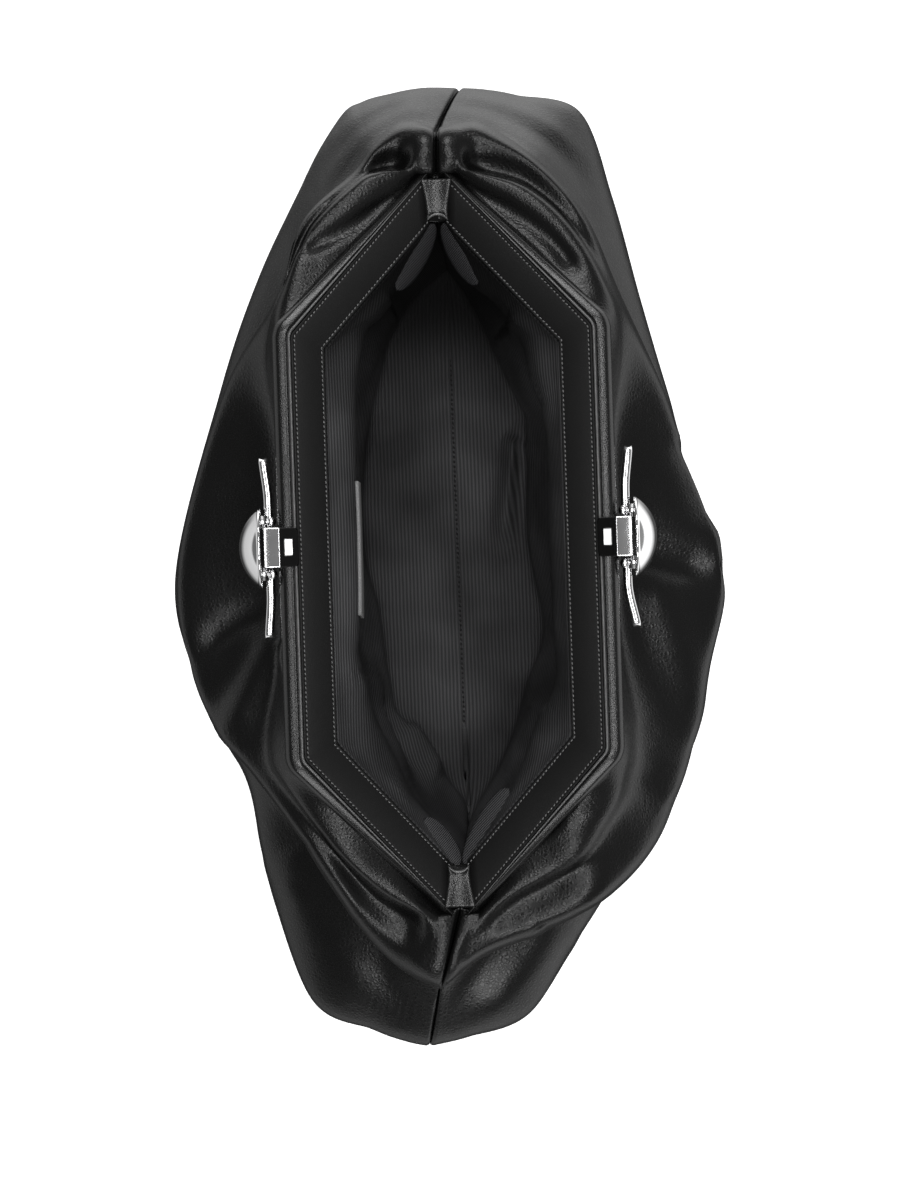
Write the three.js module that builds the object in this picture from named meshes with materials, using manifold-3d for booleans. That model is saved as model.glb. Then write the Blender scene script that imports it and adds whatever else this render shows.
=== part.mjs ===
// A soft leather frame clutch, standing open on its base. Millimetres, +Z up, its length along X.
// The back is on the +Y side and the front on the -Y side; "out" is a distance from the X axis, either side.
import * as THREE from "three";
import { mergeVertices } from "three/addons/utils/BufferGeometryUtils.js";
import loadManifold from "manifold-3d";

const wasm = await loadManifold();
wasm.setup();

// The purse frame: a ten-inch frame, opened so that each half rises outwards from the hinge line.
const HINGE_SPAN = 254;
const BAR_LENGTH = 147;
const BAR_OUT = 52;
const FRAME_RISE = THREE.MathUtils.degToRad(25);
const HINGE_HEIGHT = 99;
const FRAME_SHIFT = -7.5;
const CORNER_RADIUS = 4;
const CORNER_STEPS = 3;
const SHARPEST_CORNER = 1;
const RIM_WIDTH = 5.4;
const RIM_WIDTH_AT_HINGE = 1.4;
const RIM_RISE = 0.9;
const RIM_STEPS = 6;
const RIM_FROM = THREE.MathUtils.degToRad(105);
const RIM_TO = THREE.MathUtils.degToRad(-90);
const FRAME_DEPTH = 7.6;
const FRAME_INNER_DEPTH = 4.5;
const FRAME_SETBACK = 0.5;
const FACING_WIDTH = 12.7;
const FACING_THICK = 1.2;
const GAP = 0.3;

// The leather tab over each hinge.
const TAB_WIDTH = 10.4;
const TAB_INNER_WIDTH = 8;
const TAB_LENGTH = 15.5;
const TAB_OVERHANG = 1;
const TAB_THICK = 2.2;
const TAB_ROUNDING = 0.5;
const TAB_GAP_OUT = 5.5;
const TAB_RAISE = 1.6;

// Walls: the leather of the body and the cloth of the lining.
const LEATHER = 1.6;
const CLOTH = 1;

// The body: where its top edge sits under the rim, and how its base lies on the ground.
const MOUTH_OUT = 3;
const MOUTH_OUT_AT_HINGE = 2.2;
const MOUTH_DROP = FRAME_DEPTH + 1;
const SEAM_TOP_REACH = 4;
const SEAM_TOP_DROP = 2;
const FLOOR_INSET = 14;
const FLOOR_SEAM_FROM = 0.16;
const FLOOR_SEAM_TO = 0.84;
const FOLD_FADE_LOW = 12;
const FOLD_FADE_HIGH = 40;
const PANEL_STEPS_ALONG = 3;
const STEPS_HELD_BY_RIM = 2;
const PANEL_STEPS_DOWN = [3, 3, 3, 4, 4, 3, 2, 2];

// The lining: where its top edge sits inside the facing, and its floor above the leather.
const LINING_OUT = -FACING_WIDTH - 0.9;
const LINING_DROP = 1.6;
const LINING_SEAM_REACH = -18;
const LINING_SEAM_DROP = 4;
const LINING_FLOOR = 3.2;
const LINING_STEPS_ALONG = 3;
const LINING_STEPS_DOWN = [3, 4, 3];

// The label on the front lining, as steps of the lining's own grid, counted along and down.
const LABEL_ALONG = [9, 13];
const LABEL_DOWN = [3, 4];
const LABEL_THICK = 1;

// The clasp: a bracket over the rim at the middle of each bar, and a dome on a flat bar in front of it.
const BRACKET_LENGTH = 13.5;
const BRACKET_TOP = 128.6;
const BRACKET_FOOT = 113;
const BRACKET_OUT = 63.6;
const BRACKET_SLOPE_OUT = 57.8;
const BRACKET_LIP = 1.5;
const BRACKET_LIP_THICK = 1.1;
const BRACKET_CLEAR = 0.6;
const BRACKET_RIM_ANGLES = [0, 30, 60, 90].map(THREE.MathUtils.degToRad);
const WINDOW_LENGTH = 6.2;
const WINDOW_WIDTH = 3.2;
const WINDOW_DEPTH = 0.9;
const DOME_RADIUS = 14.5;
const DOME_HEIGHT = 7;
const DOME_RIM = 1.2;
const DOME_Z = 114;
const DOME_SEGMENTS = 24;
const DOME_STEPS = 6;
const BAR_FROM = 8;
const BAR_TIP = 31;
const BAR_BEND = 22;
const BAR_STEPS = 6;
const BAR_INNER = 60.6;
const BAR_THICK = 2.6;
const BAR_TIP_CURL = 2.2;
const BAR_HEIGHT = 6;
const KNUCKLE_RADIUS = 2.2;
const KNUCKLE_SIDES = 14;
const KNUCKLE_LENGTH = 5;
const KNUCKLE_X = 9.6;
const KNUCKLE_OUT = 62.2;
const KNUCKLE_RAISE = 3;

// Rows of numbers as records with the named columns.
function table(columns, rows) {
  const names = columns.split(" ");
  return rows.map((row) => Object.fromEntries(names.map((name, k) => [name, row[k]])));
}

// The end seams, shared by both panels. y is along +Y; the other columns are those of the panels' sections.
const SHAPE_COLUMNS = "ridge ridgeZ valley valleyZ crest crestZ";
const SEAM_COLUMNS = `share ${SHAPE_COLUMNS} edgeX y edgeZ tuck tuckZ footX footY footZ`;
const [SEAM_A, SEAM_B] = table(SEAM_COLUMNS, [
  [0, 0.12, 99, 0.3, 98, 0.82, 102, -153.5, 0.6, 94, -5, 57, -176.5, 10, 20],
  [1, 0.12, 99, 0.3, 98, 0.82, 99, 149.5, -7.4, 90, 1, 44, 177.5, -13, 14],
]);

// The panels' sections from end a to end b. share is the way along the mouth. ridge, valley and crest are
// ways from the mouth to the upper roll's edge, each with its height. tuck is how far the wall draws in under
// that edge, with its height, and foot is the widest point of the base.
const SECTION_COLUMNS = `share ${SHAPE_COLUMNS} edgeX edgeOut edgeZ tuck tuckZ footX footOut footZ`;
const FRONT_SECTIONS = table(SECTION_COLUMNS, [
  [0.05, 0.12, 102, 0.4, 99, 0.82, 103, -155.5, 13.5, 94, -3, 57, -176, 14, 20],
  [0.11, 0.35, 106, 0.5, 101, 0.84, 103, -140, 28, 94, -4, 58, -169, 34, 22],
  [0.18, 0.5, 111, 0.62, 105, 0.88, 106, -122.5, 47, 98, 3, 60, -141, 50.5, 24],
  [0.26, 0.5, 115, 0.66, 111, 0.88, 108, -97, 56.5, 99, 5, 60, -108, 67, 26],
  [0.36, 0.03, 104, 0.12, 92, 0.84, 87, -64, 78, 76, 3, 53, -67, 82, 30],
  [0.5, 0.01, 100, 0.06, 87, 0.86, 79, -3, 97, 67, 0, 51, 2, 100.5, 36],
  [0.63, 0.02, 102, 0.1, 89, 0.86, 82, 41, 91.5, 71, 3, 50, 44, 91.5, 30],
  [0.74, 0.35, 112, 0.5, 102, 0.84, 97, 70, 73, 86, 4, 48, 76, 76, 24],
  [0.83, 0.5, 111, 0.62, 104, 0.88, 103, 101, 50, 94, 4, 46, 112, 68.5, 18],
  [0.9, 0.36, 106, 0.54, 97, 0.88, 100, 124, 36, 91, 4, 44, 159, 57.5, 14],
  [0.95, 0.16, 103, 0.45, 94, 0.86, 99, 139, 23, 90, 2, 42, 171, 34, 14],
]);
const BACK_SECTIONS = table(SECTION_COLUMNS, [
  [0.05, 0.12, 102, 0.4, 99, 0.82, 103, -154, 18, 94, -3, 57, -174, 31, 20],
  [0.11, 0.35, 106, 0.5, 101, 0.84, 102, -140, 35, 92, -6, 57, -167, 54, 22],
  [0.18, 0.5, 111, 0.62, 105, 0.88, 103, -120, 52, 92, 2, 58, -134, 65, 24],
  [0.26, 0.45, 114, 0.6, 104, 0.86, 95, -93, 64, 84, 6, 55, -96, 74, 26],
  [0.37, 0.03, 104, 0.12, 91, 0.86, 84, -56, 80, 74, 4.5, 52, -55, 84.5, 30],
  [0.5, 0.01, 100, 0.06, 87, 0.86, 79, 1, 99.5, 67, 0, 51, 2, 101, 36],
  [0.62, 0.02, 102, 0.1, 89, 0.86, 80, 50, 89.5, 69, 3.5, 50, 52, 88, 32],
  [0.73, 0.25, 111, 0.4, 98, 0.86, 88, 84, 79.5, 75, 12, 48, 88, 71, 26],
  [0.8, 0.3, 111, 0.45, 103, 0.86, 97, 108, 65, 84, 12, 46, 116, 58, 20],
  [0.87, 0.35, 107, 0.5, 102, 0.86, 103, 122, 47, 92, 8, 44, 144, 39.5, 15],
  [0.94, 0.15, 103, 0.35, 99, 0.86, 102, 133, 21, 92, 3, 42, 166, 27, 14],
]);

// The main folds, each a ridge (rise above 0) or a crease (below 0) along a curve from a by way of b to c.
const FOLD_COLUMNS = "aX aOut bX bOut cX cOut width rise";
const FRONT_FOLDS = table(FOLD_COLUMNS, [
  [14, 62, 17, 76, 30, 92, 8, -5],
  [23, 60, 42, 70, 62, 80, 8, 4],
  [-150, 8, -145, 14, -139, 20, 6, -4],
  [100, 63, 131, 46, 168, 25, 9, 3],
]);
const BACK_FOLDS = table(FOLD_COLUMNS, [
  [-5, 63, 0, 78, 5, 99, 7, -6],
  [8, 72, 40, 82, 68, 89, 9, 4],
  [60, 54, 72, 61, 86, 75, 7, -5],
  [89, 39, 105, 43, 123, 48, 6, 4],
  [97, 34, 108, 38, 117, 40, 5, -4],
  [-148, 8, -143, 14, -138, 23, 6, -4],
  [131, 35, 151, 19, 173, 0, 8, 3],
]);

// The lining's sections: the point where the slack cloth hangs in, and the foot of its wall.
const LINING_COLUMNS = "share hangX hangOut hangZ footX footOut footZ";
const LINING_SEAM_COLUMNS = "share hangX y hangZ footX footY footZ";
const [LINING_SEAM_A, LINING_SEAM_B] = table(LINING_SEAM_COLUMNS, [
  [0, -119, 0, 64, -111, 3, 8],
  [1, 106, 1, 68, 99, -1, 14],
]);
const FRONT_LINING = table(LINING_COLUMNS, [
  [0.1, -104, 11, 87, -101, 11, 7],
  [0.27, -82, 30, 92, -88, 22, 5],
  [0.4, -32, 33.5, 88, -32, 29, 4],
  [0.55, 10, 34, 87, 10, 29, 4],
  [0.68, 42, 36, 92, 46, 22, 5],
  [0.8, 73, 25, 92, 72, 12, 12],
  [0.91, 90, 10, 87, 91, 8, 16],
]);
const BACK_LINING = table(LINING_COLUMNS, [
  [0.1, -101, 10, 87, -101, 16, 7],
  [0.27, -80, 33, 96, -82, 23, 5],
  [0.38, -42, 36, 90, -50, 32, 4],
  [0.52, 8, 36, 88, 10, 35.5, 4],
  [0.66, 44, 36, 92, 44, 29, 5],
  [0.8, 73, 26, 94, 72, 16, 8],
  [0.91, 91, 11, 87, 92, 8, 15],
]);

const surface = (color, roughness, metalness) => () =>
  new THREE.MeshStandardMaterial({ color, roughness, metalness });
const leather = surface(0x16171a, 0.5, 0);
const facingLeather = surface(0x1b1c1e, 0.6, 0);
const liningCloth = surface(0x101113, 0.85, 0);
const polishedMetal = surface(0xc4c7ca, 0.12, 1);
const labelPatch = surface(0x2a2b2d, 0.7, 0);

// A closed mesh from points and triangles, with its faces turned outwards.
function closedGeometry(points, triangles) {
  const across = new THREE.Vector3();
  const volume = triangles.reduce(
    (sum, [a, b, c]) => sum + points[a].dot(across.crossVectors(points[b], points[c])),
    0,
  );
  const outward = volume > 0 ? triangles : triangles.map(([a, b, c]) => [a, c, b]);
  const geometry = new THREE.BufferGeometry();
  geometry.setAttribute("position", new THREE.Float32BufferAttribute(points.flatMap((p) => p.toArray()), 3));
  geometry.setIndex(outward.flat());
  geometry.computeVertexNormals();
  return geometry;
}

// A closed wall between two grids of the same size: its two faces and the strips along its four edges.
function wallBetween(face, back) {
  const lastRow = face.length - 1;
  const lastColumn = face[0].length - 1;
  const points = [...face.flat(), ...back.flat()];
  const triangles = [];
  const at = (side, i, j) => (side * (lastRow + 1) + i) * (lastColumn + 1) + j;
  const quad = (a, b, c, d) => triangles.push([a, b, c], [a, c, d]);
  for (let i = 0; i < lastRow; i += 1) {
    for (let j = 0; j < lastColumn; j += 1) {
      quad(at(0, i, j), at(0, i + 1, j), at(0, i + 1, j + 1), at(0, i, j + 1));
      quad(at(1, i, j), at(1, i, j + 1), at(1, i + 1, j + 1), at(1, i + 1, j));
    }
    quad(at(0, i, 0), at(1, i, 0), at(1, i + 1, 0), at(0, i + 1, 0));
    quad(at(0, i, lastColumn), at(0, i + 1, lastColumn), at(1, i + 1, lastColumn), at(1, i, lastColumn));
  }
  for (let j = 0; j < lastColumn; j += 1) {
    quad(at(0, 0, j), at(0, 0, j + 1), at(1, 0, j + 1), at(1, 0, j));
    quad(at(0, lastRow, j + 1), at(0, lastRow, j), at(1, lastRow, j), at(1, lastRow, j + 1));
  }
  return closedGeometry(points, triangles);
}

// The facing's outer edge on one half, in the plane of that half, set outwards by `out` (by `hingeOut` at
// the hinge): from the hinge end of one arm, round both corners of the bar, to the other hinge end.
function hoop(out, hingeOut = out) {
  const tabEdge = TAB_GAP_OUT / Math.cos(FRAME_RISE);
  const reach = BAR_OUT / Math.cos(FRAME_RISE);
  const armRun = (HINGE_SPAN - BAR_LENGTH) / 2;
  const armFall = reach - tabEdge;
  const turn = Math.atan2(armFall, armRun);
  const mitre = Math.tan(turn / 2);
  const endX = BAR_LENGTH / 2 + hingeOut * mitre + (armFall + hingeOut) * (armRun / armFall);
  const radius = Math.max(CORNER_RADIUS + out, SHARPEST_CORNER);
  const centre = new THREE.Vector2(BAR_LENGTH / 2 + out * mitre - radius * mitre, reach + out - radius);
  const half = [];
  for (let k = 0; k <= CORNER_STEPS; k += 1) {
    const angle = Math.PI / 2 - (turn * k) / CORNER_STEPS;
    half.push(new THREE.Vector2(Math.cos(angle), Math.sin(angle)).multiplyScalar(radius).add(centre));
  }
  half.push(new THREE.Vector2(endX, tabEdge));
  const mirrored = half.map((p) => new THREE.Vector2(-p.x, p.y)).reverse();
  return [...mirrored, ...half];
}

// A strip with the given cross-section carried round the hoop. Each corner of the section has its distance
// out from the facing's edge, the same at the hinge, and its height above the facing's face.
function hoopStrip(section) {
  const paths = section.map(({ out, hingeOut }) => hoop(out, hingeOut));
  const stations = paths[0].length;
  const corners = section.length;
  const points = [];
  for (let i = 0; i < stations; i += 1) {
    section.forEach(({ up }, j) => points.push(new THREE.Vector3(paths[j][i].x, paths[j][i].y, up)));
  }
  const triangles = [];
  for (let i = 0; i < stations - 1; i += 1) {
    for (let j = 0; j < corners; j += 1) {
      const a = i * corners + j;
      const b = i * corners + ((j + 1) % corners);
      triangles.push([a, b, b + corners], [a, b + corners, a + corners]);
    }
  }
  const outline = section.map(({ out, up }) => new THREE.Vector2(out, up));
  const last = (stations - 1) * corners;
  const facesBack = THREE.ShapeUtils.isClockWise(outline);
  for (const [a, b, c] of THREE.ShapeUtils.triangulateShape(outline, [])) {
    const [p, q, r] = facesBack ? [a, c, b] : [a, b, c];
    triangles.push([p, r, q], [last + p, last + q, last + r]);
  }
  return closedGeometry(points, triangles);
}

// A point of the rim's round section, or one `clear` of it, at an angle above the way out.
function rimPoint(angle, clear = 0) {
  const middle = 0.3;
  const halfDepth = (RIM_RISE + FRAME_DEPTH) / 2;
  const share = middle + (1 - middle) * Math.cos(angle);
  return {
    out: RIM_WIDTH * share + clear * Math.cos(angle),
    hingeOut: RIM_WIDTH_AT_HINGE * share + clear * Math.cos(angle),
    up: RIM_RISE - halfDepth + (halfDepth + clear) * Math.sin(angle),
  };
}

// The leather-covered half of the frame: flat under the facing, with a rolled rim outside it.
function frameHalf() {
  const straight = (out, up) => ({ out, hingeOut: out, up });
  const seat = -FACING_THICK - GAP;
  const inner = -FACING_WIDTH + FRAME_SETBACK;
  const roll = [];
  for (let k = 0; k <= RIM_STEPS; k += 1) {
    roll.push(rimPoint(THREE.MathUtils.lerp(RIM_FROM, RIM_TO, k / RIM_STEPS)));
  }
  return hoopStrip([
    straight(inner, seat),
    straight(GAP, seat),
    straight(GAP, 0),
    ...roll,
    straight(inner / 2, -FRAME_DEPTH),
    straight(inner, -FRAME_INNER_DEPTH),
  ]);
}

// The flat strip of smooth leather on the half.
function facingStrip() {
  return hoopStrip([
    { out: -FACING_WIDTH, hingeOut: -FACING_WIDTH, up: -FACING_THICK },
    { out: 0, hingeOut: 0, up: -FACING_THICK },
    { out: 0, hingeOut: 0, up: 0 },
    { out: -FACING_WIDTH, hingeOut: -FACING_WIDTH, up: 0 },
  ]);
}

// The leather tab that covers the hinge at the end of the frame in direction `end`.
function hingeTab(end) {
  const outerX = end * (HINGE_SPAN / 2 + TAB_OVERHANG);
  const innerX = outerX - end * TAB_LENGTH;
  const outline = new THREE.Shape([
    new THREE.Vector2(outerX, -TAB_WIDTH / 2),
    new THREE.Vector2(outerX, TAB_WIDTH / 2),
    new THREE.Vector2(innerX, TAB_INNER_WIDTH / 2),
    new THREE.Vector2(innerX, -TAB_INNER_WIDTH / 2),
  ]);
  return new THREE.ExtrudeGeometry(outline, {
    depth: TAB_THICK - 2 * TAB_ROUNDING,
    bevelSize: TAB_ROUNDING,
    bevelThickness: TAB_ROUNDING,
    bevelOffset: -TAB_ROUNDING,
    bevelSegments: 2,
  }).translate(0, 0, TAB_RAISE - TAB_THICK / 2);
}

// A point of one half's plane, at height `up` above it, in the bag's own axes.
function onHalf(side, { x, y }, up) {
  return new THREE.Vector3(
    FRAME_SHIFT + x,
    side * (y * Math.cos(FRAME_RISE) - up * Math.sin(FRAME_RISE)),
    HINGE_HEIGHT + y * Math.sin(FRAME_RISE) + up * Math.cos(FRAME_RISE),
  );
}

// The top of an end seam, on the hinge line: `reach` beyond the hinge and `drop` below it.
function seamTop(end, reach, drop) {
  return new THREE.Vector3(FRAME_SHIFT + end * (HINGE_SPAN / 2 + reach), 0, HINGE_HEIGHT - drop);
}

// The point a given share of the way along a line of points.
function along(points, share) {
  const lengths = points.slice(1).map((p, k) => p.distanceTo(points[k]));
  let left = THREE.MathUtils.clamp(share, 0, 1) * lengths.reduce((sum, l) => sum + l, 0);
  let k = 0;
  while (k < lengths.length - 1 && left > lengths[k]) {
    left -= lengths[k];
    k += 1;
  }
  return points[k].clone().lerp(points[k + 1], Math.min(left / lengths[k], 1));
}

// A record between the rows of a table, each column carried on smoothly (Catmull-Rom) from row to row.
function rowBetween(rows, position) {
  const first = Math.min(Math.floor(position), rows.length - 2);
  const t = position - first;
  const near = [-1, 0, 1, 2].map((k) => rows[THREE.MathUtils.clamp(first + k, 0, rows.length - 1)]);
  const smooth = ([p, q, r, s]) =>
    0.5 * (2 * q + (r - p) * t + (2 * p - 5 * q + 4 * r - s) * t * t + (3 * q - p - 3 * r + s) * t * t * t);
  return Object.fromEntries(Object.keys(rows[0]).map((name) => [name, smooth(near.map((row) => row[name]))]));
}

// Points down a smooth curve through the given ones, with a number of steps in each span.
function downCurve(controls, steps) {
  const curve = new THREE.CatmullRomCurve3(controls, false, "centripetal");
  const spans = controls.length - 1;
  const points = [curve.getPoint(0)];
  steps.forEach((count, span) => {
    for (let k = 1; k <= count; k += 1) points.push(curve.getPoint((span + k / count) / spans));
  });
  return points;
}

// How far a fold lifts the leather at a point of the plan: a smooth ridge along its curve, its ends fading.
function foldLift(fold, x, out) {
  const SAMPLES = 16;
  const curve = new THREE.QuadraticBezierCurve(
    new THREE.Vector2(fold.aX, fold.aOut),
    new THREE.Vector2(2 * fold.bX - (fold.aX + fold.cX) / 2, 2 * fold.bOut - (fold.aOut + fold.cOut) / 2),
    new THREE.Vector2(fold.cX, fold.cOut),
  );
  const here = new THREE.Vector2(x, out);
  let nearest = Infinity;
  let where = 0;
  curve.getPoints(SAMPLES).forEach((p, k) => {
    const distance = p.distanceTo(here);
    if (distance < nearest) {
      nearest = distance;
      where = k / SAMPLES;
    }
  });
  const begins = THREE.MathUtils.smoothstep(where, -0.1, 0.15);
  const ends = 1 - THREE.MathUtils.smoothstep(where, 0.7, 1.15);
  return fold.rise * begins * ends * Math.exp(-((nearest / fold.width) ** 2));
}

// Unit normals of a grid of points, on the side that `side` gives.
function gridNormals(grid, side) {
  const lastRow = grid.length - 1;
  const lastColumn = grid[0].length - 1;
  return grid.map((row, i) =>
    row.map((_, j) => {
      const lengthwise = new THREE.Vector3().subVectors(
        grid[Math.min(i + 1, lastRow)][j],
        grid[Math.max(i - 1, 0)][j],
      );
      const downward = new THREE.Vector3().subVectors(
        row[Math.min(j + 1, lastColumn)],
        row[Math.max(j - 1, 0)],
      );
      return lengthwise.cross(downward).multiplyScalar(side).normalize();
    }),
  );
}

// A wall's normals on its outer side. Along the end seams they have no part across the bag, and along the
// last `floorColumns` columns, which lie on the ground, they point straight down.
function wallNormals(grid, side, floorColumns) {
  const normals = gridNormals(grid, side);
  const lastRow = normals.length - 1;
  normals.forEach((row, i) =>
    row.forEach((normal, j) => {
      if (i === 0 || i === lastRow) normal.setY(0).normalize();
      if (j >= row.length - floorColumns) normal.set(0, 0, -1);
    }),
  );
  return normals;
}

// The panel's rows with the shared seams at both ends, as distances out on its own side.
function withSeams(side, seamA, rows, seamB) {
  const seamRow = ({ y, footY, ...rest }) => ({ ...rest, edgeOut: side * y, footOut: side * footY });
  return [seamRow(seamA), ...rows, seamRow(seamB)];
}

// One leather panel: from under the rim over the ridge, the valley and the crest to the upper roll's edge, in
// at the tuck, out to the foot, under to the floor and along it to the bottom seam.
function bodyPanel(side, sections, folds) {
  const rows = withSeams(side, SEAM_A, sections, SEAM_B);
  const mouth = [
    seamTop(-1, SEAM_TOP_REACH, SEAM_TOP_DROP),
    ...hoop(MOUTH_OUT, MOUTH_OUT_AT_HINGE).map((p) => onHalf(side, p, -MOUTH_DROP)),
    seamTop(1, SEAM_TOP_REACH, SEAM_TOP_DROP),
  ];
  const seamFoot = ({ footX, footY }) => new THREE.Vector3(footX, footY, 0);
  const stations = (rows.length - 1) * PANEL_STEPS_ALONG;
  const grid = [];
  for (let i = 0; i <= stations; i += 1) {
    const row = rowBetween(rows, i / PANEL_STEPS_ALONG);
    const top = along(mouth, row.share);
    const edge = new THREE.Vector3(row.edgeX, side * row.edgeOut, row.edgeZ);
    const towards = (share, z) => top.clone().lerp(edge, share).setZ(z);
    const ridge = towards(row.ridge, row.ridgeZ);
    const valley = towards(row.valley, row.valleyZ);
    const crest = towards(row.crest, row.crestZ);
    const foot = new THREE.Vector3(row.footX, side * row.footOut, row.footZ);
    const floorShare = THREE.MathUtils.lerp(FLOOR_SEAM_FROM, FLOOR_SEAM_TO, i / stations);
    const seam = seamFoot(SEAM_A).lerp(seamFoot(SEAM_B), floorShare);
    const inward = seam.clone().sub(foot).setZ(0).normalize();
    const tuck = edge.clone().addScaledVector(inward, row.tuck).setZ(row.tuckZ);
    const floorEdge = foot.clone().addScaledVector(inward, FLOOR_INSET).setZ(0);
    grid.push(downCurve([top, ridge, valley, crest, edge, tuck, foot, floorEdge, seam], PANEL_STEPS_DOWN));
  }
  const smoothNormals = gridNormals(grid, side);
  const face = grid.map((row, i) =>
    row.map((point, j) => {
      const lift = folds.reduce((sum, fold) => sum + foldLift(fold, point.x, side * point.y), 0);
      const upper = THREE.MathUtils.smoothstep(point.z, FOLD_FADE_LOW, FOLD_FADE_HIGH);
      const free = Math.min(j / STEPS_HELD_BY_RIM, 1);
      const moved = point.clone().addScaledVector(smoothNormals[i][j], lift * upper * free);
      moved.y += side * (GAP / 2);
      moved.z = Math.max(moved.z, 0);
      return moved;
    }),
  );
  const normals = wallNormals(face, side, PANEL_STEPS_DOWN.at(-1));
  const inside = face.map((row, i) =>
    row.map((point, j) => point.clone().addScaledVector(normals[i][j], -LEATHER)),
  );
  return wallBetween(face, inside);
}

// The grid of one lining panel's seen face: from inside the facing, in where the slack cloth hangs, down the
// wall and along the floor to its seam.
function liningGrid(side, sections) {
  const seamRow = ({ y, footY, ...rest }) => ({ ...rest, hangOut: side * y, footOut: side * footY });
  const rows = [seamRow(LINING_SEAM_A), ...sections, seamRow(LINING_SEAM_B)];
  const mouth = [
    seamTop(-1, LINING_SEAM_REACH, LINING_SEAM_DROP),
    ...hoop(LINING_OUT).map((p) => onHalf(side, p, -LINING_DROP)),
    seamTop(1, LINING_SEAM_REACH, LINING_SEAM_DROP),
  ];
  const seamFoot = ({ footX, footY }) => new THREE.Vector3(footX, footY, LINING_FLOOR);
  const stations = (rows.length - 1) * LINING_STEPS_ALONG;
  const grid = [];
  for (let i = 0; i <= stations; i += 1) {
    const row = rowBetween(rows, i / LINING_STEPS_ALONG);
    const hang = new THREE.Vector3(row.hangX, side * row.hangOut, row.hangZ);
    const foot = new THREE.Vector3(row.footX, side * row.footOut, row.footZ);
    const floorShare = THREE.MathUtils.lerp(FLOOR_SEAM_FROM, FLOOR_SEAM_TO, i / stations);
    const seam = seamFoot(LINING_SEAM_A).lerp(seamFoot(LINING_SEAM_B), floorShare);
    const points = downCurve([along(mouth, row.share), hang, foot, seam], LINING_STEPS_DOWN);
    grid.push(points.map((p) => p.setY(p.y + side * (GAP / 2)).setZ(Math.max(p.z, LINING_FLOOR))));
  }
  return grid;
}

// A lining panel: its seen face, and its back on the side of the leather.
function liningPanel(side, sections) {
  const face = liningGrid(side, sections);
  const normals = wallNormals(face, side, 1);
  return wallBetween(
    face,
    face.map((row, i) => row.map((point, j) => point.clone().addScaledVector(normals[i][j], CLOTH))),
  );
}

// The bare label: a patch that follows part of the front lining's grid, just clear of it.
function labelPiece() {
  const grid = liningGrid(-1, FRONT_LINING);
  const normals = gridNormals(grid, -1);
  const patch = (distance) =>
    grid
      .slice(LABEL_ALONG[0], LABEL_ALONG[1] + 1)
      .map((row, i) =>
        row
          .slice(LABEL_DOWN[0], LABEL_DOWN[1] + 1)
          .map((point, j) =>
            point.clone().addScaledVector(normals[LABEL_ALONG[0] + i][LABEL_DOWN[0] + j], -distance),
          ),
      );
  return wallBetween(patch(GAP), patch(GAP + LABEL_THICK));
}

// A geometry as a solid for joining and cutting, and back again.
function solidOf(geometry) {
  const bare = geometry.clone();
  bare.deleteAttribute("normal");
  bare.deleteAttribute("uv");
  const merged = mergeVertices(bare);
  return new wasm.Manifold(
    new wasm.Mesh({
      numProp: 3,
      vertProperties: Float32Array.from(merged.attributes.position.array),
      triVerts: Uint32Array.from(merged.index.array),
    }),
  );
}

function geometryOf(solid) {
  const { vertProperties, triVerts } = solid.getMesh();
  const geometry = new THREE.BufferGeometry();
  geometry.setAttribute("position", new THREE.Float32BufferAttribute(vertProperties, 3));
  geometry.setIndex(Array.from(triVerts));
  geometry.computeVertexNormals();
  return geometry;
}

// The metal bracket hooked over the rim: a flat top, a slope down to the facing with a square window sunk in
// it, and a leg down outside the rim. Its profile is drawn with the way out across and the height up.
function claspBracket() {
  const onBar = ({ out, up }) => {
    const point = onHalf(1, { x: 0, y: BAR_OUT / Math.cos(FRAME_RISE) + out }, up);
    return new THREE.Vector2(point.y, point.z);
  };
  const overRim = BRACKET_RIM_ANGLES.map((angle) => onBar(rimPoint(angle, BRACKET_CLEAR)));
  const legInner = Math.max(...overRim.map((point) => point.x)) + GAP;
  const lipFoot = onBar({ out: GAP, up: BRACKET_LIP });
  const lip = lipFoot.clone().add(new THREE.Vector2(0, BRACKET_LIP_THICK));
  const crest = new THREE.Vector2(BRACKET_SLOPE_OUT, BRACKET_TOP);
  const profile = new THREE.Shape([
    lip,
    crest,
    new THREE.Vector2(BRACKET_OUT, BRACKET_TOP),
    new THREE.Vector2(BRACKET_OUT, BRACKET_FOOT),
    new THREE.Vector2(legInner, BRACKET_FOOT),
    new THREE.Vector2(legInner, overRim[0].y),
    ...overRim.slice(1),
    lipFoot,
  ]);
  const block = new THREE.ExtrudeGeometry(profile, { depth: BRACKET_LENGTH, bevelEnabled: false })
    .rotateX(Math.PI / 2)
    .rotateZ(Math.PI / 2)
    .translate(-BRACKET_LENGTH / 2, 0, 0);
  const slope = Math.atan2(crest.y - lip.y, crest.x - lip.x);
  const middle = lip.clone().lerp(crest, 0.5);
  const window = new THREE.BoxGeometry(WINDOW_LENGTH, WINDOW_WIDTH, 2 * WINDOW_DEPTH)
    .rotateX(slope)
    .translate(0, middle.x, middle.y);
  return geometryOf(solidOf(block).subtract(solidOf(window)));
}

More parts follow.
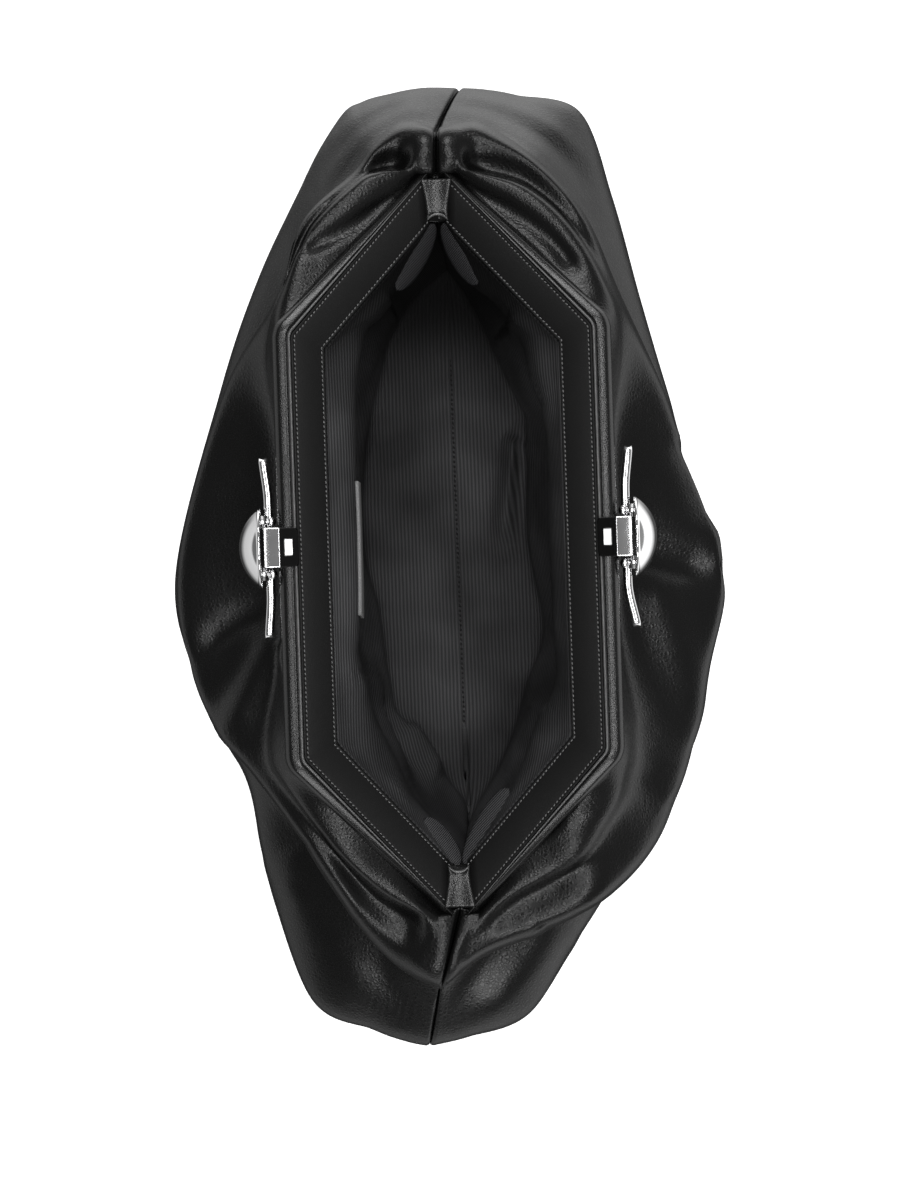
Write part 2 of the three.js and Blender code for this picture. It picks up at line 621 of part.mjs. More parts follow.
// The clasp's ornament: a polished dome on a plain bar whose tips curl outwards, joined by two knuckles.
function claspOrnament() {
  const domeProfile = [new THREE.Vector2(0, 0), new THREE.Vector2(DOME_RADIUS, 0)];
  const ball = (DOME_RADIUS ** 2 + DOME_HEIGHT ** 2) / (2 * DOME_HEIGHT);
  const reach = Math.asin(DOME_RADIUS / ball);
  for (let k = 0; k <= DOME_STEPS; k += 1) {
    const angle = reach * (1 - k / DOME_STEPS);
    const radius = k === DOME_STEPS ? 0 : ball * Math.sin(angle);
    domeProfile.push(new THREE.Vector2(radius, DOME_RIM + DOME_HEIGHT - ball * (1 - Math.cos(angle))));
  }
  const dome = new THREE.LatheGeometry(domeProfile, DOME_SEGMENTS).translate(0, BRACKET_OUT + GAP, DOME_Z);
  let ornament = solidOf(dome);
  for (const end of [-1, 1]) {
    const outline = new THREE.Shape();
    const tipOut = BAR_INNER + BAR_TIP_CURL;
    outline.moveTo(end * BAR_FROM, BAR_INNER);
    outline.quadraticCurveTo(end * BAR_BEND, BAR_INNER, end * BAR_TIP, tipOut);
    outline.lineTo(end * BAR_TIP, tipOut + BAR_THICK);
    outline.quadraticCurveTo(end * BAR_BEND, BAR_INNER + BAR_THICK, end * BAR_FROM, BAR_INNER + BAR_THICK);
    outline.closePath();
    const barSolid = { depth: BAR_HEIGHT, bevelEnabled: false, curveSegments: BAR_STEPS };
    const bar = new THREE.ExtrudeGeometry(outline, barSolid).translate(0, 0, DOME_Z - BAR_HEIGHT / 2);
    const knuckle = new THREE.CylinderGeometry(KNUCKLE_RADIUS, KNUCKLE_RADIUS, KNUCKLE_LENGTH, KNUCKLE_SIDES)
      .rotateZ(Math.PI / 2)
      .translate(end * KNUCKLE_X, KNUCKLE_OUT, DOME_Z + KNUCKLE_RAISE);
    ornament = ornament.add(solidOf(bar)).add(solidOf(knuckle));
  }
  return geometryOf(ornament);
}

const clutch = new THREE.Group();

function addPiece(parent, name, geometry, material) {
  const piece = new THREE.Mesh(geometry, material);
  piece.name = name;
  parent.add(piece);
}

const SIDES = table("name side turn sections folds lining", [
  ["front", -1, Math.PI, FRONT_SECTIONS, FRONT_FOLDS, FRONT_LINING],
  ["back", 1, 0, BACK_SECTIONS, BACK_FOLDS, BACK_LINING],
]);
for (const { name, side, turn, sections, folds, lining } of SIDES) {
  addPiece(clutch, `body_${name}`, bodyPanel(side, sections, folds), leather());
  addPiece(clutch, `lining_${name}`, liningPanel(side, lining), liningCloth());
  const upright = new THREE.Group();
  upright.position.x = FRAME_SHIFT;
  upright.rotation.z = turn;
  const tilted = new THREE.Group();
  tilted.position.z = HINGE_HEIGHT;
  tilted.rotation.x = FRAME_RISE;
  addPiece(tilted, `frame_${name}`, frameHalf(), leather());
  addPiece(tilted, `facing_${name}`, facingStrip(), facingLeather());
  addPiece(upright, `clasp_bracket_${name}`, claspBracket(), polishedMetal());
  addPiece(upright, `clasp_ornament_${name}`, claspOrnament(), polishedMetal());
  upright.add(tilted);
  clutch.add(upright);
}

const hinge = new THREE.Group();
hinge.position.set(FRAME_SHIFT, 0, HINGE_HEIGHT);
addPiece(hinge, "hinge_tab_a", hingeTab(-1), facingLeather());
addPiece(hinge, "hinge_tab_b", hingeTab(1), facingLeather());
clutch.add(hinge);

addPiece(clutch, "label", labelPiece(), labelPatch());

export default clutch;
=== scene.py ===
"""A soft black leather frame clutch, standing open on its base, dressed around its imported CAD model."""
import math

import bpy
import numpy as np
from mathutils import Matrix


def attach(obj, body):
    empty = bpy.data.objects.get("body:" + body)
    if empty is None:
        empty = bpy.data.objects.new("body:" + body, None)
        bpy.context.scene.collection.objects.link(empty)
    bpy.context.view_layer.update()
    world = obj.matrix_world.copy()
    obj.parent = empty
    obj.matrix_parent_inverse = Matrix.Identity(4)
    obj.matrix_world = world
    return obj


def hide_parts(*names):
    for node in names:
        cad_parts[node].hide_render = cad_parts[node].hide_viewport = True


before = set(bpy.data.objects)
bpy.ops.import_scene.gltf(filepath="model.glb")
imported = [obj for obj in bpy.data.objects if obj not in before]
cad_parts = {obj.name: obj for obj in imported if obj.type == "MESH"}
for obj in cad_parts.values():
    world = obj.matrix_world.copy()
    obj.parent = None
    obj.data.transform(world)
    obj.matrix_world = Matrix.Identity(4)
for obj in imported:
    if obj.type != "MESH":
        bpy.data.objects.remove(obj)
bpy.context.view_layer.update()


# Studio: a white floor that carries on past the picture and isn't mirrored in the object, soft lamps over
# it, and surroundings that are bright low down. The camera looks straight down, with the bag's length up
# the picture.
MM = 0.001
# The studio is in metres, unlike the bag's own sizes, which are in millimetres.
CAMERA_PLACE = (12.5 * MM, 0, 1.5)
CAMERA_TURN = math.radians(88.1)
CAMERA_LENS = 119.68
SENSOR = 36
FLOOR_HALF = 4
FLOOR_Z = -0.3 * MM
FLOOR_WHITE = 0.92
FLOOR_ROUGHNESS = 0.9
FLOOR_GLOW = 1.0
# Columns: height of the direction from -1 straight down to 1 straight up, brightness of the studio there.
STUDIO_LIGHT = ((-1, 0.05), (-0.75, 0.06), (-0.5, 0.8), (-0.05, 0.95), (0.03, 0.2), (0.9, 0.17))
# Columns: part of the direction from and to, value from and to. The first is the share of the studio's light
# from front to back, by Y. The others make a glow low at the top end, by X, by Z and by Y to either side.
FRONT_TO_BACK = (-0.7, 0.7, 0.7, 1.35)
TOP_GLOW = (-0.2, -0.75, 0.0, 1.2)
TOP_GLOW_LOW = (0.1, -0.1, 0.0, 1.0)
TOP_GLOW_NARROW = (0.3, 0.65, 1.0, 0.0)
LAMP_AIM = (0, 0, 0.05)
LAMP_REACH = 1.6
# Columns: name, degrees from straight up, degrees round from +X, width, length, watts.
LAMPS = (
    ("lamp_over_top", 24, 180, 0.5, 0.2, 3.4),
    ("lamp_over_bottom", 24, 0, 0.5, 0.2, 3.4),
    ("lamp_over_front", 13, 270, 1.0, 0.14, 3),
    ("lamp_over_back", 13, 90, 1.0, 0.14, 4.6),
    ("lamp_top_end", 50, 180, 0.7, 0.35, 5.6),
    ("lamp_bottom_end", 50, 0, 0.7, 0.35, 4.2),
)


def link(data, name):
    """A new object for the data, in the scene."""
    thing = bpy.data.objects.new(name, data)
    bpy.context.scene.collection.objects.link(thing)
    return thing


def soft_lamp(name, lean, turn, width, length, watts):
    """A rectangular lamp at a lean from straight up and a turn from +X, facing what all lamps aim at."""
    data = bpy.data.lights.new(name, "AREA")
    data.shape = "RECTANGLE"
    data.size = width
    data.size_y = length
    data.energy = watts
    lean, turn = math.radians(lean), math.radians(turn)
    sideways = LAMP_REACH * math.sin(lean)
    place = np.array([sideways * math.cos(turn), sideways * math.sin(turn), LAMP_REACH * math.cos(lean)])
    x, y, z = place - LAMP_AIM
    lamp = link(data, name)
    lamp.location = place
    lamp.rotation_euler = (math.atan2(math.hypot(x, y), z), 0, math.atan2(x, -y))


def grey(level, cool=0.0):
    """A grey of the given level, a little bluer where asked."""
    return (level, level, level + cool, 1)


class Reading:
    """A value among nodes: sums and products of readings and plain numbers add their Math nodes."""

    def __init__(self, nodes, socket):
        self.nodes = nodes
        self.socket = socket

    def joined(self, operation, first, second):
        """A Math node on two values, each a reading or a plain number."""
        return self.nodes.node("ShaderNodeMath", {"operation": operation}, {0: first, 1: second})

    def __add__(self, other):
        return self.joined("ADD", self, other)

    def __sub__(self, other):
        return self.joined("SUBTRACT", self, other)

    def __rsub__(self, other):
        return self.joined("SUBTRACT", other, self)

    def __mul__(self, other):
        return self.joined("MULTIPLY", self, other)

    __radd__ = __add__
    __rmul__ = __mul__


class Nodes:
    """The nodes of a material or of the surroundings, all made by one method."""

    def __init__(self, owner):
        owner.use_nodes = True
        self.tree = owner.node_tree

    def put(self, socket, value):
        """Leads a reading into a socket, or sets the socket to a plain value."""
        if isinstance(value, Reading):
            self.tree.links.new(value.socket, socket)
        else:
            socket.default_value = value

    def node(self, kind, settings, sockets, output=0):
        """One output of a new node, made from its type, its settings and what its sockets hold."""
        made = self.tree.nodes.new(kind)
        for name, value in settings.items():
            if name == "stops":
                self.set_stops(made.color_ramp.elements, value)
            else:
                setattr(made, name, value)
        for name, value in sockets.items():
            self.put(made.inputs[name], value)
        return Reading(self, made.outputs[output])

    def set_stops(self, elements, stops):
        """A ramp's stops, each a position and a brightness."""
        for _ in stops[2:]:
            elements.new(1.0)
        for element, (position, brightness) in zip(elements, stops):
            element.position = position
            element.color = grey(brightness)

    def place(self, output="Object"):
        """Where on the surface, in the bag's own axes or in another kind of coordinates."""
        return self.node("ShaderNodeTexCoord", {}, {}, output)

    def axes(self, place):
        """The three numbers of a place."""
        split = self.node("ShaderNodeSeparateXYZ", {}, {0: place}).socket.node
        return [Reading(self, output) for output in split.outputs]

    def spread(self, value, low, high, start, stop, shape="LINEAR"):
        """A value carried from the range low to high over to the range start to stop."""
        return self.node("ShaderNodeMapRange", {"interpolation_type": shape},
                         {0: value, 1: low, 2: high, 3: start, 4: stop})


class Finish(Nodes):
    """A material: its constants are set on its shader, and readings are led into it."""

    def __init__(self, name, constants):
        self.material = bpy.data.materials.new(name)
        super().__init__(self.material)
        self.shader = self.tree.nodes["Principled BSDF"]
        for socket, value in constants.items():
            self.shader.inputs[socket].default_value = value

    def feed(self, socket, value):
        """Puts a value into one of the shader's sockets."""
        self.put(self.shader.inputs[socket], value)

    def noise(self, place, scale, detail=2.0):
        """Cloudy noise, from 0 to 1."""
        return self.node("ShaderNodeTexNoise", {}, {"Vector": place, "Scale": scale, "Detail": detail})

    def shade(self, factor, dark, light):
        """A colour between two."""
        return self.node("ShaderNodeMix", {"data_type": "RGBA"}, {0: factor, 6: dark, 7: light}, 2)

    def wave(self, value):
        """The sine of a value."""
        return self.node("ShaderNodeMath", {"operation": "SINE"}, {0: value})

    def bumps(self, height, distance):
        """A relief that is only lit, not built, as deep as the distance."""
        self.feed("Normal", self.node("ShaderNodeBump", {}, {"Height": height, "Distance": distance}))


camera_data = bpy.data.cameras.new("camera")
camera_data.lens = CAMERA_LENS
camera_data.sensor_width = SENSOR
camera = link(camera_data, "camera")
camera.location = CAMERA_PLACE
camera.rotation_euler = (0, 0, CAMERA_TURN)
bpy.context.scene.camera = camera
bpy.context.scene.view_settings.view_transform = "Standard"

world = bpy.data.worlds.new("studio")
bpy.context.scene.world = world
sky = Nodes(world)
sky_x, sky_y, sky_z = sky.axes(sky.place("Generated"))
stops = [((height + 1) / 2, brightness) for height, brightness in STUDIO_LIGHT]
fade = sky.node("ShaderNodeValToRGB", {"stops": stops}, {0: sky.spread(sky_z, -1.0, 1.0, 0.0, 1.0)})
to_a_side = sky.node("ShaderNodeMath", {"operation": "ABSOLUTE"}, {0: sky_y})
top_glow = sky.spread(sky_x, *TOP_GLOW) * sky.spread(sky_z, *TOP_GLOW_LOW)
top_glow = top_glow * sky.spread(to_a_side, *TOP_GLOW_NARROW)
sky.put(sky.tree.nodes["Background"].inputs["Color"], fade * sky.spread(sky_y, *FRONT_TO_BACK) + top_glow)

for lamp in LAMPS:
    soft_lamp(*lamp)

floor_mesh = bpy.data.meshes.new("floor")
floor_corners = FLOOR_HALF * np.array([[-1, -1, 0], [1, -1, 0], [1, 1, 0], [-1, 1, 0]]) + [0, 0, FLOOR_Z]
floor_mesh.from_pydata(floor_corners.tolist(), [], [(0, 1, 2, 3)])
white_floor = Finish("white_floor", {"Base Color": grey(FLOOR_WHITE), "Roughness": FLOOR_ROUGHNESS,
                                     "Emission Color": grey(FLOOR_WHITE), "Emission Strength": FLOOR_GLOW})
floor_mesh.materials.append(white_floor.material)
floor = link(floor_mesh, "floor")
floor.visible_glossy = False


# Leather body: two panels of soft black nappa, sewn together at both ends and along the bottom. Their top
# edge is gathered under the frame's rim; the leather rolls over, draws in and spreads out on the ground.
HINGE_SPAN = 254
BAR_LENGTH = 147
BAR_OUT = 52
FRAME_RISE = math.radians(25)
HINGE_HEIGHT = 99
FRAME_SHIFT = -7.5
CORNER_RADIUS = 4
CORNER_STEPS = 6
SHARPEST_CORNER = 1
TAB_GAP_OUT = 5.5
GAP = 0.3
LEATHER = 1.6
MOUTH_OUT = 4.6
MOUTH_OUT_AT_HINGE = 1.2
MOUTH_DROP = 3.2
SEAM_TOP_REACH = 1.2
SEAM_TOP_DROP = -0.5
FLOOR_INSET = 14
FLOOR_SEAM_FROM = 0.16
FLOOR_SEAM_TO = 0.84
FOLD_HEIGHTS = (3, 26)
FOLD_START = (-0.1, 0.15)
FOLD_END = (0.7, 1.15)
FOLD_POINTS = 40
PANEL_STEPS_ALONG = 22
PANEL_STEPS_DOWN = [12, 14, 24, 20, 18, 12, 10, 6]
HELD_BY_RIM = 0.12
SEAM_GROOVE = 1.5
SEAM_GROOVE_WIDTH = 0.7
SEAM_BAR = 0.7
SEAM_BAR_PLACE = 3.8
SEAM_BAR_WIDTH = 3.2
SEAM_BAR_FROM = (0.2, 0.6)
SEAM_BAR_TO = (3.2, 4)
GRAIN_WARP = (420.0, 0.0012)
PORE_SCALE = 2600.0
PATCH_SCALE = 38.0
WRINKLE_SCALE = 130.0
PEBBLE_SLOPE = 3.0
PEBBLE_SHADE = 0.6
PATCH_SHADE = 0.4
PATCH_GLOSS = 0.12
LINE_GLOSS = 0.1
PORE_DEPTH = 0.2
GRAIN_SLACK = (0.4, 0.6, 0.5, 1.0)
HALVES = (("front", -1), ("back", 1))
# Columns: share along the mouth; ways and heights of ridge, valley and crest from mouth to edge; edgeX
# edgeOut edgeZ at the upper roll's edge; tuck in under it and its height; footX footOut footZ at the base's
# widest. The seams give y, not out.
SEAM_A = (0, 0.22, 102.4, 0.55, 104.2, 0.84, 102, -153.5, 0.6, 95, -5, 52, -177.3, 10, 18)
SEAM_B = (1, 0.22, 101.4, 0.55, 101.8, 0.84, 98, 149.5, -7.4, 91, 1, 44, 178.3, -13, 14)
SECTION_OUTS = [8, 13]
SECTION_FOOT = slice(12, 14)
FRONT_SECTIONS = (
    (0.025, 0.14, 102, 0.36, 104, 0.78, 102, -156, 7, 95, -4, 52, -177.8, 3, 18),
    (0.05, 0.3, 104.5, 0.46, 96.5, 0.8, 101, -155, 14, 94, -3, 52, -176, 15, 18),
    (0.08, 0.52, 106, 0.66, 97.5, 0.87, 99.5, -149, 21.5, 92, -3, 54, -173.5, 26, 19),
    (0.115, 0.7, 107.5, 0.81, 102, 0.92, 98.5, -140, 28.5, 91, -2, 56, -167.5, 35, 20),
    (0.18, 0.7, 111, 0.79, 107, 0.91, 107, -122.5, 47, 98, 3, 60, -141, 50.5, 22),
    (0.26, 0.6, 115, 0.71, 111, 0.9, 109, -97, 56.5, 99, 8, 60, -108, 67, 26),
    (0.36, 0.03, 105, 0.12, 94, 0.95, 81, -64, 78, 75, 8, 55, -67, 82, 30),
    (0.5, 0.01, 101, 0.06, 89.5, 0.955, 74, -3, 97, 67.5, 5, 54, 2, 100.5, 36),
    (0.63, 0.02, 103, 0.1, 91, 0.955, 77, 41, 91.5, 70.5, 5, 52, 44, 91.5, 30),
    (0.74, 0.35, 112, 0.5, 102, 0.92, 94, 70, 73, 87, 4, 48, 76, 77.5, 24),
    (0.83, 0.5, 111, 0.62, 104, 0.88, 103, 101, 50, 94, 4, 46, 112, 70.5, 18),
    (0.9, 0.38, 107, 0.58, 97, 0.88, 96.5, 123, 36, 90, 4, 44, 159, 56.3, 14),
    (0.95, 0.2, 106, 0.44, 95.5, 0.82, 95.5, 136.5, 25.5, 89, 3, 42, 171, 34, 14),
    (0.975, 0.15, 102.5, 0.45, 101.5, 0.82, 99, 145, 16.5, 90, 2, 43, 176.3, 21, 14),
)
BACK_SECTIONS = (
    (0.025, 0.14, 102, 0.36, 104, 0.78, 102, -155, 9, 95, -4, 52, -176.3, 20, 18),
    (0.05, 0.25, 104.5, 0.4, 97, 0.8, 101, -154, 18, 94, -3, 52, -174, 31, 18),
    (0.11, 0.52, 107, 0.66, 98, 0.9, 100, -142, 35, 92, -4, 54, -167, 54, 20),
    (0.18, 0.58, 111, 0.7, 102, 0.9, 100, -122, 52, 91, 2, 56, -134, 65, 24),
    (0.26, 0.5, 114, 0.62, 104, 0.9, 95, -93, 64, 84, 8, 57, -96, 74, 26),
    (0.37, 0.03, 105, 0.12, 93, 0.95, 79, -56, 80, 73, 8, 55, -55, 84.5, 30),
    (0.5, 0.01, 101, 0.06, 89.5, 0.955, 74, 1, 99.5, 67.5, 5, 54, 2, 101, 36),
    (0.62, 0.02, 103, 0.1, 91, 0.955, 75.5, 50, 88.3, 69, 6, 52, 52, 88, 32),
    (0.73, 0.25, 111, 0.4, 98, 0.94, 84, 84, 79.5, 77, 12, 48, 88, 71, 26),
    (0.8, 0.3, 111, 0.45, 103, 0.92, 93, 108, 65, 85, 12, 46, 116, 58, 20),
    (0.87, 0.35, 107, 0.5, 102, 0.88, 102, 122, 45.7, 92, 8, 44, 144, 40, 15),
    (0.94, 0.2, 104, 0.42, 100.5, 0.82, 100, 133, 19, 92, 3, 42, 167.3, 24, 14),
    (0.972, 0.16, 102, 0.45, 101.5, 0.82, 99.5, 140, 5, 91, 2, 43, 174.6, 2.5, 14),
)
# Columns: aX aOut bX bOut cX cOut width rise; a ridge has rise above 0, a crease below 0.
FRONT_FOLDS = (
    (14, 62, 17, 76, 30, 92, 5, -3),
    (23, 60, 42, 70, 62, 80, 8, 4),
    (100, 63, 131, 46, 168, 25, 11, 4),
    (-112, 46, -119, 30, -129, 14, 3, -2.6),
    (-166, 2, -157, 24, -134, 44, 4, 2),
    (-172, 6, -165, 26, -146, 45, 4, 1.5),
    (112, 62, 140, 55, 172, 38, 9, 1.5),
    (104, 52, 128, 36, 160, 12, 5, 1.5),
)
BACK_FOLDS = (
    (-5, 63, 0, 78, 5, 99, 7, -6),
    (8, 72, 40, 82, 68, 89, 9, 2.4),
    (60, 54, 72, 61, 86, 75, 9, -3.5),
    (89, 39, 105, 43, 123, 48, 9, 2),
    (131, 35, 151, 19, 173, 0, 11, 4),
    (-102, 46, -117, 33.5, -130, 12, 3, -2.6),
    (-164, 4, -156, 28, -134, 50, 4, 2),
    (-171, 8, -164, 32, -146, 56, 4, 1.5),
    (-44, 86, -25, 92, -8, 97, 9, -3.2),
)


def grained_leather(name, dark, light, gloss, pebble, depth, shine=0.42, wrinkle=3.0):
    """Leather: rounded pebbles between the lines of a cell pattern, pores, and slow changes of gloss."""
    finish = Finish(name, {"Specular IOR Level": shine})
    place = finish.place()
    warp_scale, warp_reach = GRAIN_WARP
    warp = finish.node("ShaderNodeTexNoise", {}, {"Vector": place, "Scale": warp_scale}, "Color")
    shift = finish.node("ShaderNodeVectorMath", {"operation": "SCALE"}, {0: warp, "Scale": warp_reach})
    warped = finish.node("ShaderNodeVectorMath", {"operation": "ADD"}, {0: place, 1: shift})
    lines = finish.node("ShaderNodeTexVoronoi", {"feature": "DISTANCE_TO_EDGE"},
                        {"Vector": warped, "Scale": 1 / (pebble * MM)}, "Distance")
    pebbles = finish.node("ShaderNodeMath", {"operation": "MINIMUM"}, {0: lines * PEBBLE_SLOPE, 1: 1.0})
    pores = finish.noise(place, PORE_SCALE, 1.0)
    patches = finish.noise(place, PATCH_SCALE, 3.0)
    slack = finish.spread(patches, *GRAIN_SLACK)
    wrinkles = finish.noise(place, WRINKLE_SCALE, 3.0)
    mottle = pebbles * PEBBLE_SHADE + patches * PATCH_SHADE
    finish.feed("Base Color", finish.shade(mottle, grey(dark), grey(light)))
    finish.feed("Roughness", gloss + (patches - 0.5) * PATCH_GLOSS + (1 - pebbles) * LINE_GLOSS)
    finish.bumps(pebbles * slack + pores * PORE_DEPTH + wrinkles * wrinkle, depth * MM)
    return finish


def smoothstep(low, high, value):
    """0 below low, 1 above high, and a smooth cubic between them."""
    share = np.clip((value - low) / (high - low), 0, 1)
    return share * share * (3 - 2 * share)


def swell(start, stop, value):
    """0, then 1, then 0 again: a smooth step up over one range and a smooth step down over the other."""
    return smoothstep(*start, value) * (1 - smoothstep(*stop, value))


def hoop(out, hinge_out, end_out=TAB_GAP_OUT):
    """The facing's outer edge on one half, set outwards, in the half's plane: for each distance out, a line
    from one hinge end round the two rounded corners of the bar to the other hinge end, which stops short of
    the hinge line by the given distance."""
    out = np.atleast_1d(np.asarray(out, float))
    hinge_out = np.atleast_1d(np.asarray(hinge_out, float))
    tab_edge = TAB_GAP_OUT / math.cos(FRAME_RISE)
    reach = BAR_OUT / math.cos(FRAME_RISE)
    arm_run = (HINGE_SPAN - BAR_LENGTH) / 2
    arm_fall = reach - tab_edge
    turn = math.atan2(arm_fall, arm_run)
    mitre = math.tan(turn / 2)
    stop = end_out / math.cos(FRAME_RISE)
    end_x = BAR_LENGTH / 2 + hinge_out * mitre + (reach - stop + hinge_out) * (arm_run / arm_fall)
    radius = np.maximum(CORNER_RADIUS + out, SHARPEST_CORNER)
    angle = math.pi / 2 - turn * np.linspace(0, 1, CORNER_STEPS + 1)[:, None]
    x = BAR_LENGTH / 2 + (out - radius) * mitre + radius * np.cos(angle)
    y = reach + out - radius + radius * np.sin(angle)
    x = np.concatenate([x, end_x[None]])
    y = np.concatenate([y, np.full((1, len(out)), stop)])
    corner = np.stack([x, y], axis=-1)
    return np.concatenate([corner[::-1] * [-1, 1], corner])


def on_half(side, plan, up):
    """Points of one half's plane, at a height above it, turned up by the frame's rise to the bag's axes."""
    return np.stack([
        FRAME_SHIFT + plan[..., 0],
        side * (plan[..., 1] * math.cos(FRAME_RISE) - up * math.sin(FRAME_RISE)),
        HINGE_HEIGHT + plan[..., 1] * math.sin(FRAME_RISE) + up * math.cos(FRAME_RISE),
    ], axis=-1)


def mouth_line(side, out, hinge_out, drop, seam_reach, seam_drop):
    """A panel's top edge: the hoop at one distance out and one drop, with the seams' tops at its ends."""
    reach = HINGE_SPAN / 2 + seam_reach
    ends = [(FRAME_SHIFT + end * reach, 0, HINGE_HEIGHT - seam_drop) for end in (-1, 1)]
    return np.concatenate([ends[:1], on_half(side, hoop(out, hinge_out)[:, 0], -drop), ends[1:]])


def lengths(line):
    """The length of a line of points, or of each line of a grid, up to each of its points."""
    steps = np.linalg.norm(np.diff(line, axis=0), axis=-1)
    return np.concatenate([0 * steps[:1], np.cumsum(steps, axis=0)])


def read_off(place, places, points):
    """Points between points: each is read off at its place among theirs."""
    return np.stack([np.interp(place, places, points[:, k]) for k in range(3)], axis=-1)


def along(line, share):
    """Points at given shares of the length of a line of points."""
    length = lengths(line)
    return read_off(share * length[-1], length, line)


def stepped(steps):
    """Positions counted in spans, with a number of even steps in each span."""
    spans = [span + np.arange(count) / count for span, count in enumerate(steps)]
    return np.concatenate(spans + [[len(steps)]])


def between_rows(rows, position):
    """Each column of a table carried on smoothly (uniform Catmull-Rom) at positions counted in rows."""
    rows = np.asarray(rows, float)
    first = np.minimum(position.astype(int), len(rows) - 2)
    t = (position - first)[:, None]
    p, q, r, s = (rows[np.clip(first + k, 0, len(rows) - 1)] for k in (-1, 0, 1, 2))
    return 0.5 * (2 * q + (r - p) * t + (2 * p - 5 * q + 4 * r - s) * t**2 + (3 * q - p - 3 * r + s) * t**3)


def down_curves(controls, steps):
    """Smooth curves (centripetal Catmull-Rom) through each row of control points, stepped in each span."""
    first = 2 * controls[:, :1] - controls[:, 1:2]
    last = 2 * controls[:, -1:] - controls[:, -2:-1]
    ringed = np.concatenate([first, controls, last], axis=1)
    spacing = np.maximum(np.linalg.norm(np.diff(ringed, axis=1), axis=2) ** 0.5, 1e-4)
    position = stepped(steps)
    span = np.minimum(position.astype(int), len(steps) - 1)
    t = (position - span)[None, :, None]
    a, b, c, d = (ringed[:, span + k] for k in range(4))
    before, here, after = (spacing[:, span + k, None] for k in range(3))
    leave = here * ((b - a) / before - (c - a) / (before + here) + (c - b) / here)
    arrive = here * ((c - b) / here - (d - b) / (here + after) + (d - c) / after)
    return b + leave * t + (3 * (c - b) - 2 * leave - arrive) * t**2 + (2 * (b - c) + leave + arrive) * t**3


def grid_normals(grid, side):
    """Unit normals of a grid: along-step crossed with down-step, on the given side."""
    normals = side * np.cross(np.gradient(grid, axis=0), np.gradient(grid, axis=1))
    return normals / np.maximum(np.linalg.norm(normals, axis=2, keepdims=True), 1e-9)


def fold_lift(folds, x, out):
    """The sum over folds of the rise times a bell of the plan distance to the fold's curve, faded at its
    ends."""
    t = np.linspace(0, 1, FOLD_POINTS)
    lift = np.zeros_like(x)
    for ax, ay, bx, by, cx, cy, width, rise in folds:
        a, b, c = np.array([[ax, ay], [bx, by], [cx, cy]], float)
        knee = 2 * b - (a + c) / 2
        curve = ((1 - t)**2)[:, None] * a + (2 * t * (1 - t))[:, None] * knee + (t**2)[:, None] * c
        distance = np.hypot(x[..., None] - curve[:, 0], out[..., None] - curve[:, 1])
        where = t[distance.argmin(axis=-1)]
        lift += rise * swell(FOLD_START, FOLD_END, where) * np.exp(-(distance.min(axis=-1) / width)**2)
    return lift


def with_seams(side, seam_a, rows, seam_b, across):
    """A panel's table with the shared seams at its ends, their y columns turned to distances out."""
    turned = np.ones(len(seam_a))
    turned[across] = side
    return np.array([np.array(seam_a) * turned, *rows, np.array(seam_b) * turned])


def floor_seam(position, feet):
    """The seam along the bottom: points of the straight line between the feet of the two end seams."""
    share = np.interp(position / position[-1], [0, 1], [FLOOR_SEAM_FROM, FLOOR_SEAM_TO])
    foot_a, foot_b = np.array(feet, float)
    return foot_a + (foot_b - foot_a) * share[:, None]


def points_at(side, x, out, z):
    """Points on one side of the bag from their X, their distance out and their height."""
    return np.stack(np.broadcast_arrays(x, side * out, z), axis=1)


def grid_faces(grid, turned=False):
    """The four-cornered faces of a grid of points, turned over where asked."""
    rows, columns = grid.shape[:2]
    i, j = np.meshgrid(np.arange(rows - 1), np.arange(columns - 1), indexing="ij")
    a = (i * columns + j).ravel()
    faces = np.stack([a, a + columns, a + columns + 1, a + 1], axis=1)
    return faces[:, ::-1] if turned else faces


def piece(name, points, faces, finish, slot, *nodes):
    """A smooth mesh in metres from points in millimetres, riding on the bag in place of its CAD nodes."""
    mesh = bpy.data.meshes.new(name)
    mesh.from_pydata((np.reshape(points, (-1, 3)) * MM).tolist(), [], [list(face) for face in faces])
    mesh.materials.append(finish.material)
    mesh.shade_smooth()
    thing = link(mesh, name)
    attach(thing, "root")
    if nodes:
        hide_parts(*nodes)
    return thing


def walled(thing, thickness, offset=-1):
    """A wall of the given thickness behind the seen face, or before it where the offset is 1."""
    wall = thing.modifiers.new("wall", "SOLIDIFY")
    wall.thickness = thickness * MM
    wall.offset = offset
    wall.use_quality_normals = True


